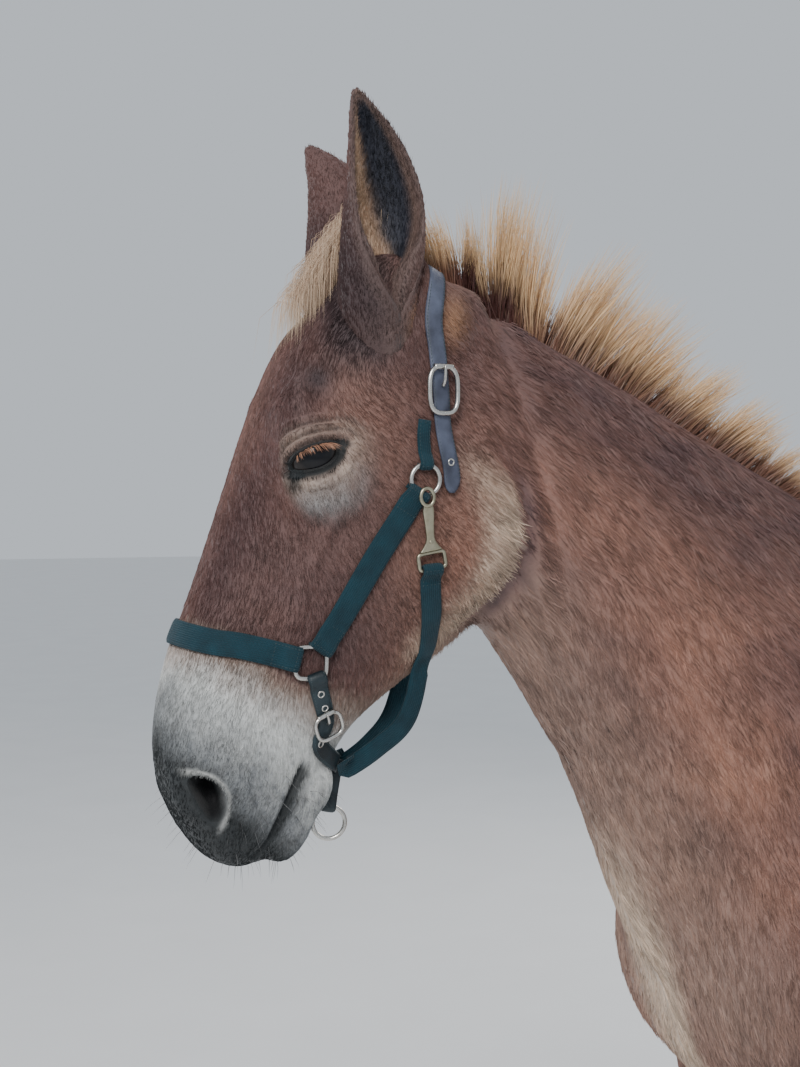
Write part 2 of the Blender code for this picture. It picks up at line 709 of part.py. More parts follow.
# Rows of an ear from its root to its tip: x, side, z, radius of the cup, half the angle that it wraps.
EAR_ROWS = [
    (-0.905, 0.048, 1.760, 0.026, 172),
    (-0.910, 0.058, 1.800, 0.033, 150),
    (-0.906, 0.070, 1.845, 0.041, 112),
    (-0.906, 0.082, 1.890, 0.040, 90),
    (-0.918, 0.093, 1.932, 0.030, 78),
    (-0.934, 0.103, 1.962, 0.016, 66),
    (-0.944, 0.108, 1.978, 0.005, 60),
]
EAR_LEAN = {-1: (0.0, 0.0), 1: (0.010, -0.012)}  # how far each ear's tip is moved along X and up
EAR_OPENING = Vector((0.32, 1.0, 0.0)).normalized()  # of the right ear: outwards and a little back
EAR_WALL = 0.0050


def ear(name, side):
    """A curled cup, open to the side, with a wall that thins towards its edges and tip."""
    rows = smooth_rows(EAR_ROWS, 2)
    tip = ramp(rows[:, 2], EAR_ROWS[1][2], EAR_ROWS[-1][2])
    rows[:, 0] += tip * EAR_LEAN[side][0]
    rows[:, 2] += tip * EAR_LEAN[side][1]
    across_steps = 8
    opening = Vector((EAR_OPENING.x, side * EAR_OPENING.y, 0.0))
    outer, inner = [], []
    for i, (x, out, z, radius, wrap) in enumerate(rows):
        centre = Vector((x, side * out, z))
        before, after = rows[max(i - 1, 0)], rows[min(i + 1, len(rows) - 1)]
        run = after - before
        axis = Vector((run[0], side * run[1], run[2])).normalized()
        back = -(opening - axis * opening.dot(axis)).normalized()
        edge = axis.cross(back).normalized()
        outer_row, inner_row = [], []
        for k in range(across_steps + 1):
            share = 2 * k / across_steps - 1
            angle = math.radians(wrap) * share
            wall = min(EAR_WALL * (1 - 0.45 * share**4), 0.6 * radius)
            direction = back * math.cos(angle) + edge * math.sin(angle)
            outer_row.append(centre + direction * radius)
            inner_row.append(centre + direction * (radius - wall))
        outer.append(outer_row)
        inner.append(inner_row)
    rings = [outer_row + inner_row[::-1] for outer_row, inner_row in zip(outer, inner)]
    return tube_object(name, [[tuple(p) for p in ring] for ring in rings])


def surface_tree(things):
    """A search tree over the faces of several meshes."""
    shape = bmesh.new()
    for thing in things:
        shape.from_mesh(thing.data)
    bmesh.ops.triangulate(shape, faces=shape.faces)
    tree = BVHTree.FromBMesh(shape)
    shape.free()
    return tree


LOCK_SEED = 11


def blade(path, half_widths, half_thickness, facing):
    """A flat lock of hair, ridged along both faces, with a wide root and a pointed tip."""
    last = len(path) - 1
    points, faces = [], []
    for i in range(last):
        tangent = (path[i + 1] - path[max(i - 1, 0)]).normalized()
        across = tangent.cross(facing).normalized() * half_widths[i]
        ridge = across.cross(tangent).normalized() * half_thickness * (1 - 0.7 * i / last)
        points += [path[i] + across, path[i] + ridge, path[i] - across, path[i] - ridge]
    points.append(path[last])
    for i in range(last - 1):
        for k in range(4):
            here, after = 4 * i + k, 4 * i + (k + 1) % 4
            faces += [(here, after, after + 4), (here, after + 4, here + 4)]
    end = 4 * (last - 1)
    faces += [(end + k, end + (k + 1) % 4, 4 * last) for k in range(4)]
    faces += [(2, 1, 0), (3, 2, 0)]
    made = make_object("lock", [tuple(point) for point in points], faces)
    face_outwards(made)
    return made


def joined_locks(core, locks):
    """One closed body from a core and the locks that are rooted in it."""
    group = bpy.data.collections.new("locks")
    bpy.context.scene.collection.children.link(group)
    for lock in locks:
        group.objects.link(lock)
    core.modifiers.new("triangles", "TRIANGULATE")
    apply_modifiers(core)
    join = core.modifiers.new("locks", "BOOLEAN")
    join.operation = "UNION"
    join.solver = "MANIFOLD"
    join.operand_type = "COLLECTION"
    join.collection = group
    apply_modifiers(core)
    for lock in locks:
        bpy.data.objects.remove(lock)
    bpy.data.collections.remove(group)
    return largest_surface(core)


# The upright mane, from the poll to the withers: x of the root, length, lean backwards in degrees.
MANE_ROWS = [
    (-0.832, 0.050, -18),
    (-0.795, 0.068, -5),
    (-0.757, 0.094, 4),
    (-0.725, 0.116, 12),
    (-0.690, 0.114, 25),
    (-0.655, 0.106, 31),
    (-0.610, 0.086, 42),
    (-0.560, 0.070, 48),
    (-0.500, 0.058, 52),
    (-0.440, 0.048, 56),
    (-0.380, 0.040, 60),
    (-0.320, 0.034, 62),
    (-0.262, 0.028, 64),
]
MANE_LOCKS = 27
MANE_ROOT_DEPTH = 0.010
MANE_CLUMP = 0.083  # the tips of the locks draw together over this length of the crest
MANE_LOCK_SHAPE = (0.0140, 0.0205, 0.0170)  # half widths from the root upwards
MANE_CORE_SHARE = 0.42  # of the hair's length


def crest_height(tree, x):
    return tree.ray_cast(Vector((x, 0, 3)), Vector((0, 0, -1)))[0].z


def mane_core(tree):
    rings = []
    for x, length, lean in MANE_ROWS:
        way = Vector((math.sin(math.radians(lean)), 0.0, math.cos(math.radians(lean))))
        foot = Vector((x, 0.0, crest_height(tree, x))) - way * MANE_ROOT_DEPTH
        rise = MANE_ROOT_DEPTH + MANE_CORE_SHARE * length
        ring = []
        for level, width in ((0.0, -0.012), (0.0, 0.012), (0.6, 0.010), (1.0, 0.0), (0.6, -0.010)):
            ring.append(tuple(foot + way * rise * level + Vector((0.0, width, 0.0))))
        rings.append(ring)
    return tube_object("mane", rings)


def mane(tree, neighbours):
    draw = np.random.default_rng(LOCK_SEED)
    table = np.array(MANE_ROWS)
    locks = []
    for k, x in enumerate(np.linspace(table[0, 0], table[-1, 0], MANE_LOCKS)):
        length = np.interp(x, table[:, 0], table[:, 1]) * draw.uniform(0.90, 1.10)
        clump = (math.floor(x / MANE_CLUMP) + 0.5) * MANE_CLUMP
        lean = np.interp(x, table[:, 0], table[:, 2]) + draw.uniform(-3, 3)
        lean += math.degrees(math.atan2((clump - x) * 0.30, length))
        side = (-1, 1, 0)[k % 3]
        point = Vector((x, side * 0.005, crest_height(tree, x) - MANE_ROOT_DEPTH))
        path = [point.copy()]
        for share in (0.0, 0.5, 1.0):
            back = math.radians(lean + 10 * (share - 0.5))
            out = math.radians(side * 9 * (1 - share)) + math.radians(draw.uniform(-4, 4))
            way = Vector((math.sin(back), math.sin(out), math.cos(back))).normalized()
            point = point + way * (length + MANE_ROOT_DEPTH) / 3
            path.append(point.copy())
        size = draw.uniform(0.90, 1.10) * (0.62 + 0.38 * min(length / 0.10, 1.0))
        facing = Vector((draw.uniform(-0.2, 0.2), 1.0, 0.0))
        locks.append(blade(path, [size * half for half in MANE_LOCK_SHAPE], 0.0042, facing))
    return cut_clear(joined_locks(mane_core(tree), locks), neighbours, "MANIFOLD")


# Each lock of the forelock: x and y of its root, how far it rises, how far ahead its tip hangs and how low.
FORELOCK_LOCKS = [
    (-0.906, 0.010, 0.074, 0.058, 0.024),
    (-0.908, -0.010, 0.070, 0.068, 0.034),
    (-0.920, 0.016, 0.060, 0.060, 0.008),
    (-0.922, -0.017, 0.062, 0.058, 0.000),
    (-0.930, 0.002, 0.056, 0.060, -0.010),
    (-0.940, 0.013, 0.044, 0.050, -0.020),
    (-0.942, -0.012, 0.042, 0.048, -0.030),
    (-0.950, 0.001, 0.032, 0.040, -0.036),
]
FORELOCK_SHAPE = (0.0100, 0.0140, 0.0140, 0.0100)


def forelock(tree, neighbours):
    """A bushy tuft that rises between the ears, arches forwards and hangs over the forehead."""
    draw = np.random.default_rng(LOCK_SEED + 1)
    core = rounded_mass("forelock", (-0.938, 0.0, 1.806), (0.024, 0.022, 0.034), tilt=20)
    simplify(core, 60)
    locks = []
    for x, y, rise, ahead, drop in FORELOCK_LOCKS:
        root = tree.ray_cast(Vector((x, y, 3)), Vector((0, 0, -1)))[0] - Vector((0, 0, 0.008))
        path = [
            root,
            root + Vector((-0.22 * ahead, 0.4 * y, 0.75 * rise)),
            root + Vector((-0.55 * ahead, 0.8 * y, 1.02 * rise)),
            root + Vector((-0.85 * ahead, 1.2 * y, 0.70 * rise + 0.15 * drop)),
            root + Vector((-1.00 * ahead, 1.5 * y, drop)),
        ]
        facing = Vector((-1.0, draw.uniform(-0.4, 0.4), 0.5))
        locks.append(blade(path, FORELOCK_SHAPE, 0.0060, facing))
    return cut_clear(joined_locks(core, locks), neighbours, "MANIFOLD")


# The middle of the tail from the dock to the longest hair: x, z, core radius.
TAIL_ROWS = [
    (0.790, 1.430, 0.026),
    (0.862, 1.402, 0.028),
    (0.900, 1.310, 0.027),
    (0.912, 1.180, 0.026),
    (0.912, 1.020, 0.026),
    (0.908, 0.850, 0.020),
    (0.905, 0.640, 0.012),
    (0.905, 0.430, 0.004),
]
TAIL_LOCKS = 9
TAIL_LOCK_SHAPE = (0.022, 0.037, 0.030)


def tail_middle(share):
    """The middle of the tail at a share of its length, and the way that it runs there."""
    table = np.array(TAIL_ROWS)
    lengths = np.concatenate([[0], np.cumsum(np.hypot(np.diff(table[:, 0]), np.diff(table[:, 1])))])
    places = []
    for at in (share - 0.03, share, share + 0.03):
        at = min(max(at, 0.0), 1.0) * lengths[-1]
        x, z = np.interp(at, lengths, table[:, 0]), np.interp(at, lengths, table[:, 1])
        places.append(Vector((x, 0.0, z)))
    radius = np.interp(share * lengths[-1], lengths, table[:, 2])
    return places[1], (places[2] - places[0]).normalized(), radius


def round_tail(share, angle):
    """The way outwards from the tail's middle at an angle round it."""
    side = Vector((0.0, 1.0, 0.0))
    return side.cross(tail_middle(share)[1]) * math.cos(angle) + side * math.sin(angle)


def tail(neighbours):
    draw = np.random.default_rng(LOCK_SEED + 2)
    rings = []
    for share in (0.0, 0.09, 0.20, 0.36, 0.58):
        middle, _, radius = tail_middle(share)
        rings.append([tuple(middle + round_tail(share, 2 * math.pi * k / 6) * radius) for k in range(6)])
    core = tube_object("tail", rings)
    locks = []
    for k in range(TAIL_LOCKS):
        level = k / (TAIL_LOCKS - 1)
        angle = 2.39996 * k
        start = 0.08 + 0.34 * level
        end = 1.0 - 0.18 * draw.uniform(0, 1)
        full = (0.030 + 0.008 * math.sin(math.pi * level)) * draw.uniform(0.86, 1.16)
        path = []
        for share, out in ((0.0, 0.45), (0.30, 1.0), (0.72, 0.85), (1.0, 0.25)):
            along = start + (end - start) * share
            turned = angle + 0.3 * share * draw.uniform(-1, 1)
            path.append(tail_middle(along)[0] + round_tail(along, turned) * full * out)
        locks.append(blade(path, TAIL_LOCK_SHAPE, 0.0100, round_tail((start + end) / 2, angle)))
    return cut_clear(joined_locks(core, locks), neighbours, "MANIFOLD")


# The halter: webbing, leather and metal.
WEB_WIDTH = 0.025
LEATHER_WIDTH = 0.019
STRAP_THICKNESS = 0.003
STRAP_LIFT = 0.0014
WIRE = 0.0024  # radius of the wire of rings and buckles
RING_RADIUS = 0.015
SQUARE_HALF = 0.0155
SQUARE_CLEAR = 0.0245  # from the middle of a square ring to the end of a strap
LEAD_RING_RADIUS = 0.0165
LEAD_RING_FACING = Vector((0.15, 1.0, 0.0))
WIRE_LIFT = 0.0046  # of the middle of a ring's wire over the skin

# Places on the side of the head, as along and front.
SQUARE_PLACE = (0.367, -0.014)
RING_PLACE = (0.166, -0.054)
CHEEK_PATH = [(0.320, -0.026), (0.250, -0.037), (0.205, -0.046)]
CHIN_BUCKLE = (0.420, -0.053)
SNAP_END = (0.243, -0.094)
RIGHT_END = [(0.125, -0.050)]
THROAT_PATH = [(0.262, -0.102), (0.300, -0.124), (0.328, -0.134)]
THROAT_FREE = [(0.390, -0.140, 0.020), (0.428, -0.124, 0.010), (0.456, -0.102, 0.0055)]
CROWN_END = [(0.168, -0.086), (0.148, -0.078), (0.112, -0.056)]
CROWN_BUCKLE = (0.079, -0.042)
CROWN_PATH = [(0.079, -0.042), (0.045, -0.027), (0.015, -0.014)]
CROWN_TOP = [((-0.4, -0.15, 1.0), -0.004), ((-1.0, -0.25, 0.9), -0.006), ((-1.0, -0.3, 0.35), -0.008)]
CROWN_MIDDLE = ((-1.0, -0.35, 0.0), -0.008)
TAB_PATH = [(0.146, -0.047), (0.128, -0.039), (0.112, -0.035)]
TAB_WIDTH = 0.014
CHIN_PATH = [(0.392, -0.034), (0.418, -0.052)]
CHIN_TURN = [((0.0, -0.55, 1.0), 0.440), ((0.0, -1.0, 0.55), 0.452)]
CHIN_MIDDLE = 0.457
NOSE_ALONG = 0.368
NOSE_RISE = 0.014
SIDE_WAY = (0.0, 0.0, 1.0)


def head_direction(along, front, side):
    """A direction from its parts along the head, towards the face and to the right."""
    return (head_point(along, front, side) - head_point(0, 0)).normalized()


def touch_head(tree, along, front, way, side):
    """Where a ray that comes in along a way meets the head, and the outward direction there."""
    target = head_point(along, front)
    out = head_direction(way[0], way[1], way[2] * side)
    hit, normal, _, _ = tree.ray_cast(target + out * 0.3, -out)
    return hit, (normal + out * 0.6).normalized()


def smoothed(values, rounds=2):
    for _ in range(rounds):
        middle = [(a + 2 * b + c) / 4 for a, b, c in zip(values, values[1:], values[2:])]
        values = [values[0], *middle, values[-1]]
    return values


def resampled(path, trim, step):
    """Places at even steps along a curve through a path, less a length trimmed from each end."""
    rows = smooth_rows([tuple(point) + tuple(normal) for point, normal in path], 10)
    lengths = np.concatenate([[0], np.cumsum(np.linalg.norm(np.diff(rows[:, :3], axis=0), axis=1))])
    total = lengths[-1] - trim[0] - trim[1]
    count = max(3, round(total / step) + 1)
    at = np.linspace(trim[0], lengths[-1] - trim[1], count)
    rows = np.array([np.interp(at, lengths, column) for column in rows.T]).T
    return [Vector(row[:3]) for row in rows], [Vector(row[3:]).normalized() for row in rows]


def strap(name, path, width, trees, trim=(0.0, 0.0), step=0.012, pointed=False, lift=STRAP_LIFT):
    """A flat band along a path of places and normals, which lies on the surfaces in the trees."""
    points, normals = resampled(path, trim, step)
    normals = smoothed(normals)
    shares = (-1.0, -0.4, 0.4, 1.0)
    rings = []
    for i, (point, normal) in enumerate(zip(points, normals)):
        tangent = (points[min(i + 1, len(points) - 1)] - points[max(i - 1, 0)]).normalized()
        across = tangent.cross(normal).normalized()
        normal = across.cross(tangent).normalized()
        half = width / 2 * (0.25 if pointed and i == 0 else 1.0)
        heights = []
        for share in shares:
            base = point + across * (share * half)
            found = [tree.ray_cast(base + normal * 0.04, -normal, 0.06)[0] for tree in trees]
            heights.append(max([(hit - base).dot(normal) for hit in found if hit is not None], default=0.0))
        top = max(heights)
        heights = [max(height, top - 0.002) + lift for height in heights]
        inner = [point + across * share * half + normal * height for share, height in zip(shares, heights)]
        outer = [place + normal * STRAP_THICKNESS for place in inner]
        rings.append([tuple(place) for place in inner + outer[::-1]])
    return tube_object(name, rings)


def wire_ring(name, centre, normal, up, half_width, half_height, square=2.0, wire=WIRE, count=12, sides=5):
    """A closed ring of round wire: round at a squareness of 2, and nearer a rectangle above it."""
    normal = normal.normalized()
    up = (up - normal * up.dot(normal)).normalized()
    right = up.cross(normal)
    middle = []
    for k in range(count):
        angle = 2 * math.pi * (k + 0.5) / count
        c, s = math.cos(angle), math.sin(angle)
        x = math.copysign(abs(c) ** (2 / square), c) * half_width
        y = math.copysign(abs(s) ** (2 / square), s) * half_height
        middle.append(centre + right * x + up * y)
    points, faces = [], []
    for k, here in enumerate(middle):
        tangent = (middle[(k + 1) % count] - middle[k - 1]).normalized()
        out = tangent.cross(normal).normalized()
        for j in range(sides):
            angle = 2 * math.pi * j / sides
            points.append(here + out * (wire * math.cos(angle)) + normal * (wire * math.sin(angle)))
    for k in range(count):
        for j in range(sides):
            a, b = k * sides + j, k * sides + (j + 1) % sides
            c, d = ((k + 1) % count) * sides + j, ((k + 1) % count) * sides + (j + 1) % sides
            faces.append((a, b, d, c))
    made = make_object(name, points, faces)
    face_outwards(made)
    return made


def raised(place, height):
    point, normal = place
    return point + normal * height


def lift_clear(thing, trees, way):
    """Moves a piece outwards along a way until it lies clear of the surfaces in the trees."""
    reach, margin = 0.05, 0.0007
    rise = 0.0
    for point in points_of(thing):
        start = Vector(point) + way * reach
        for tree in trees:
            hit = tree.ray_cast(start, -way, reach + margin)[0]
            if hit is not None:
                rise = max(rise, reach + margin - (start - hit).length)
    thing.data.transform(Matrix.Translation(way * rise))
    return thing


def halter_snap(places, normal):
    """A swivel snap: an eye at the top, a round shank and a flat loop for the strap below."""
    top, bottom = places
    down = (bottom - top).normalized()
    eye = wire_ring("halter_snap", top, normal, down, 0.0075, 0.0090, wire=0.0020, count=12)
    loop_centre = bottom - down * 0.006
    loop = wire_ring("snap loop", loop_centre, normal, down, 0.0145, 0.0050, 4.0, wire=0.0018, count=12)
    side = down.cross(normal)
    rings = []
    for share, radius in ((0.0, 0.0035), (0.18, 0.0046), (0.30, 0.0034), (0.80, 0.0040), (1.0, 0.0052)):
        middle = (top + down * 0.0085).lerp(loop_centre - down * 0.0040, share)
        ring = []
        for k in range(8):
            angle = 2 * math.pi * k / 8
            out = side * math.cos(angle) + normal * math.sin(angle)
            ring.append(tuple(middle + out * radius))
        rings.append(ring)
    boolean(eye, tube_object("snap shank", rings), "UNION")
    return largest_surface(boolean(eye, loop, "UNION"))


def side_hardware(tree, squares, rings):
    """The square ring and the round ring on each side of the head."""
    made = []
    up = head_direction(-1, 0, 0)
    for side, word in ((-1, "left"), (1, "right")):
        squares[side] = touch_head(tree, *SQUARE_PLACE, SIDE_WAY, side)
        rings[side] = touch_head(tree, *RING_PLACE, SIDE_WAY, side)
        diagonal = up + head_direction(0, 1, 0) * 0.35
        sizes = (
            (f"halter_square_{word}", squares[side], diagonal, SQUARE_HALF, 3.5),
            (f"halter_ring_{word}", rings[side], up, RING_RADIUS, 2.0),
        )
        for name, place, upwards, half, square in sizes:
            ring = wire_ring(name, raised(place, WIRE_LIFT), place[1], upwards, half, half, square)
            made.append(lift_clear(ring, [tree], place[1]))
    return made


def side_path(tree, places, side):
    """Where a path of places on the side of the head touches it."""
    return [touch_head(tree, *place, SIDE_WAY, side) for place in places]


def turned_path(tree, places, front, side):
    """Where rays from given ways touch the head."""
    return [touch_head(tree, along, front, way, side) for way, along in places]


def noseband(tree, squares):
    path = [squares[-1]]
    for angle in (-68, -42, -20, 0, 20, 42, 68):
        turn = math.radians(angle)
        along = NOSE_ALONG + NOSE_RISE * math.cos(turn)
        path.append(touch_head(tree, along, 0.03, (0.0, math.cos(turn), math.sin(turn)), 1))
    path.append(squares[1])
    return strap("halter_noseband", path, WEB_WIDTH, [tree], (SQUARE_CLEAR, SQUARE_CLEAR), step=0.015)


def chin_piece(tree, squares):
    """The strap from square to square under the chin, and the place in its middle."""
    middle = touch_head(tree, CHIN_MIDDLE, -0.03, (0.0, -1.0, 0.0), 1)
    path = [squares[-1], *side_path(tree, CHIN_PATH, -1), *turned_path(tree, CHIN_TURN, -0.03, -1), middle]
    path += turned_path(tree, CHIN_TURN[::-1], -0.03, 1)
    path += [*side_path(tree, CHIN_PATH[::-1], 1), squares[1]]
    trim = (SQUARE_CLEAR, SQUARE_CLEAR)
    return strap("halter_chin_strap", path, LEATHER_WIDTH, [tree], trim, step=0.010, lift=0.0024), middle


def crown_piece(tree, rings):
    """The strap from the right ring over the poll to the buckle on the left, and its pointed end."""
    path = side_path(tree, CROWN_END + CROWN_PATH, -1) + turned_path(tree, CROWN_TOP, 0.0, -1)
    path.append(touch_head(tree, CROWN_MIDDLE[1], 0.0, CROWN_MIDDLE[0], 1))
    path += turned_path(tree, CROWN_TOP[::-1], 0.0, 1) + side_path(tree, CROWN_PATH[::-1] + RIGHT_END, 1)
    path.append(rings[1])
    trim = (0.0, RING_RADIUS + WIRE + 0.001)
    return strap("halter_crown", path, LEATHER_WIDTH, [tree], trim, step=0.014, pointed=True, lift=0.0024)


def throat_piece(name, trees, side):
    """The webbing from the snap along the jaw, which hangs free under it to the lead ring."""
    path = side_path(trees[0], THROAT_PATH, side)
    for along, front, out in THROAT_FREE:
        path.append((head_point(along, front, side * out), head_direction(0, -0.15, side)))
    return strap(name, path, LEATHER_WIDTH, trees, step=0.016)


def buckle(name, trees, place, upwards, half_width, half_height, wire):
    frame = wire_ring(name, raised(place, wire), place[1], upwards, half_width, half_height, 3.0, wire)
    return lift_clear(frame, trees, place[1])


def halter(head):
    """Every piece of the halter, laid on the head: its metal, its webbing and its leather."""
    tree = surface_tree([head])
    squares, rings = {}, {}
    metal = side_hardware(tree, squares, rings)
    clear = (SQUARE_CLEAR, RING_RADIUS + WIRE + 0.001)
    webbing = [noseband(tree, squares)]
    for side, word in ((-1, "left"), (1, "right")):
        path = [squares[side], *side_path(tree, CHEEK_PATH, side), rings[side]]
        webbing.append(strap(f"halter_cheek_{word}", path, WEB_WIDTH, [tree], clear, step=0.018))
    webbing.append(strap("halter_tab", side_path(tree, TAB_PATH, -1), TAB_WIDTH, [tree]))
    chin, chin_middle = chin_piece(tree, squares)
    chin_tree = surface_tree([chin])
    for side, word in ((-1, "left"), (1, "right")):
        webbing.append(throat_piece(f"halter_throat_{word}", [tree, chin_tree], side))
    crown = crown_piece(tree, rings)

    crown_tree = surface_tree([crown])
    place = touch_head(tree, *CROWN_BUCKLE, SIDE_WAY, -1)
    upwards = head_direction(-1, 0.35, 0)
    metal.append(buckle("halter_crown_buckle", [tree, crown_tree], place, upwards, 0.0155, 0.0225, WIRE))
    place = touch_head(tree, *CHIN_BUCKLE, SIDE_WAY, -1)
    upwards = head_direction(-1, 0.9, 0)
    metal.append(buckle("halter_chin_buckle", [tree, chin_tree], place, upwards, 0.0145, 0.0125, 0.0020))
    down = Vector((0.0, 0.0, -1.0))
    centre = chin_middle[0] + down * LEAD_RING_RADIUS
    size = LEAD_RING_RADIUS
    lead_ring = wire_ring("halter_lead_ring", centre, LEAD_RING_FACING, down, size, size, count=16)
    metal.append(lift_clear(lead_ring, [tree, chin_tree], down))
    ring = rings[-1]
    top = raised(ring, WIRE_LIFT + WIRE + 0.0026) + head_direction(1, -0.35, 0) * (RING_RADIUS + 0.0015)
    end = touch_head(tree, *SNAP_END, SIDE_WAY, -1)
    snap = halter_snap((top, raised(end, 0.0060)), ring[1])
    ring_tree = surface_tree([piece for piece in metal if piece.name == "halter_ring_left"])
    metal.append(lift_clear(snap, [tree, crown_tree, ring_tree], ring[1]))
    return metal, webbing, [chin, crown]


def centre_on_origin():
    """Moves everything so that the middle of its footprint is the origin, at ground level."""
    things = list(bpy.context.scene.objects)
    every = np.vstack([points_of(thing) for thing in things])
    low, high = every.min(axis=0), every.max(axis=0)
    shift = Matrix.Translation(-Vector(((low[0] + high[0]) / 2, (low[1] + high[1]) / 2, low[2])))
    for thing in things:
        thing.data.transform(shift)


def give_materials(groups):
    """A material for each object. A group is a colour, a roughness, a metallic share and objects."""
    for colour, roughness, metallic, things in groups:
        for thing in things:
            thing.data.materials.clear()
            thing.data.materials.append(finish_material(thing.name, colour, roughness, metallic))


def main():
    clear_scene()
    head, neck, torso, legs, hooves = flesh_nodes()
    head = carve_head(head)
    eyes = [eyeball("eye_left", -1), eyeball("eye_right", 1)]
    ears = [cut_clear(ear("ear_left", -1), [head]), cut_clear(ear("ear_right", 1), [head])]
    metal, webbing, leather = halter(head)
    skin = surface_tree([head, neck, torso])
    hair = [
        mane(skin, [head, neck, torso, *leather]),
        forelock(skin, [head, *ears]),
        tail([torso]),
    ]
    give_materials(
        [
            (SKIN_COLOUR, 0.80, 0.0, [neck, torso, *legs]),
            (SKIN_COLOUR, 0.75, 0.0, [head]),
            (EAR_COLOUR, 0.85, 0.0, ears),
            (FLAXEN_COLOUR, 0.70, 0.0, hair),
            (EYE_COLOUR, 0.10, 0.0, eyes),
            (HOOF_COLOUR, 0.55, 0.0, hooves),
            (METAL_COLOUR, 0.25, 1.0, metal),
            (WEBBING_COLOUR, 0.70, 0.0, webbing),
            (LEATHER_COLOUR, 0.50, 0.0, leather),
        ]
    )
    centre_on_origin()


main()
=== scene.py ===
# %% [markdown]
# A standing mule in its halter.
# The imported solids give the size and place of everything. This script dresses them: one smooth skin over all
# the flesh, a coat of small tufts, long hair for the mane, forelock and tail, wet eyes, ringed hooves, and a
# halter of woven webbing, leather and nickel. Each cell makes one thing, and prints what it made.

# %% Load the frame
import math

import bmesh
import bpy
import numpy as np
from mathutils import Matrix, Vector
from mathutils.bvhtree import BVHTree


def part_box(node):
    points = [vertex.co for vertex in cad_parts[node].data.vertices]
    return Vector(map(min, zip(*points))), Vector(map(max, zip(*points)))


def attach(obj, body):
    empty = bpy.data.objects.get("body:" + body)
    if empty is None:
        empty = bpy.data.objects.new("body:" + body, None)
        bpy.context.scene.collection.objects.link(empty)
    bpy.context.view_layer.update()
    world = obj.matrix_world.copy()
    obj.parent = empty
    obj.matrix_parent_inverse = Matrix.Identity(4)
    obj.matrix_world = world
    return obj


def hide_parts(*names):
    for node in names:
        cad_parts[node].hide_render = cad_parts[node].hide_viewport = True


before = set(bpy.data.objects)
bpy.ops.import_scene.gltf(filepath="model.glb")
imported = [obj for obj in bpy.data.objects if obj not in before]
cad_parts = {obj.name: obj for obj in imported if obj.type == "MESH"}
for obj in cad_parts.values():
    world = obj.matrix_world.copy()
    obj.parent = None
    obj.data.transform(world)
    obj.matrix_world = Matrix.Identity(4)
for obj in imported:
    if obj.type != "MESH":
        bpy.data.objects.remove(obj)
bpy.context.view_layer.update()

# %% [markdown]
# The head has its own directions. Places on it read best as a distance along the face from the poll to the
# lips, a distance out towards the face line, and a distance to the side. The eyeballs are solids of the
# frame, so the poll is worked out back from them, and everything else on the head follows.

# %% The directions of the head
FACE_SLOPE = math.radians(70.2)  # how steeply the face line runs down from the poll
ALONG_FACE = Vector((-math.cos(FACE_SLOPE), 0.0, -math.sin(FACE_SLOPE)))
OUT_OF_FACE = Vector((-math.sin(FACE_SLOPE), 0.0, math.cos(FACE_SLOPE)))
EYE_PLACE = (0.181, 0.053, 0.078)  # along, front, side of each eyeball's centre


def box_centre(node):
    low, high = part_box(node)
    return (low + high) / 2


EYES = {-1: box_centre("eye_left"), 1: box_centre("eye_right")}
POLL = (EYES[-1] + EYES[1]) / 2 - ALONG_FACE * EYE_PLACE[0] - OUT_OF_FACE * EYE_PLACE[1]
MIDDLE_Y = POLL.y


def head_point(along, front, side=0.0):
    """A place on the head. Side is towards the mule's right."""
    return POLL + ALONG_FACE * along + OUT_OF_FACE * front + Vector((0.0, side, 0.0))


def in_head(points):
    """Along, front and side of many points."""
    away = points - np.array(POLL)
    return away @ np.array(ALONG_FACE), away @ np.array(OUT_OF_FACE), away[:, 1]


def ramp(values, start, end):
    """0 at start, 1 at end and a smooth rise between them."""
    t = np.clip((values - start) / (end - start), 0.0, 1.0)
    return t * t * (3 - 2 * t)


print("poll at", tuple(round(v, 4) for v in POLL))

# %% [markdown]
# Most pieces here are made from arrays of points and faces, because a coat has hundreds of thousands of
# them and a loop over single vertices would take minutes. These helpers turn arrays into meshes and back.

# %% Helpers for meshes from arrays
def shown(name, data):
    """A new object in the scene, at the origin."""
    made = bpy.data.objects.new(name, data)
    bpy.context.scene.collection.objects.link(made)
    return made


def array_mesh(name, points, faces, smooth=True):
    """An object from arrays of points and of faces that all have the same number of corners."""
    faces = np.asarray(faces, dtype=np.int32)
    mesh = bpy.data.meshes.new(name)
    mesh.vertices.add(len(points))
    mesh.vertices.foreach_set("co", np.asarray(points, dtype=np.float32).ravel())
    mesh.loops.add(faces.size)
    mesh.loops.foreach_set("vertex_index", faces.ravel())
    mesh.polygons.add(len(faces))
    mesh.polygons.foreach_set("loop_start", np.arange(len(faces), dtype=np.int32) * faces.shape[1])
    mesh.update(calc_edges=True)
    mesh.polygons.foreach_set("use_smooth", np.full(len(faces), smooth))
    return shown(name, mesh)


def points_of(thing):
    flat = np.empty(len(thing.data.vertices) * 3)
    thing.data.vertices.foreach_get("co", flat)
    return flat.reshape(-1, 3)


def normals_of(thing):
    flat = np.empty(len(thing.data.vertices) * 3)
    thing.data.vertices.foreach_get("normal", flat)
    return flat.reshape(-1, 3)


def triangles_of(thing):
    thing.data.calc_loop_triangles()
    flat = np.empty(len(thing.data.loop_triangles) * 3, dtype=np.int32)
    thing.data.loop_triangles.foreach_get("vertices", flat)
    return flat.reshape(-1, 3)


def move_points(thing, points):
    thing.data.vertices.foreach_set("co", np.asarray(points, dtype=np.float32).ravel())
    thing.data.update()


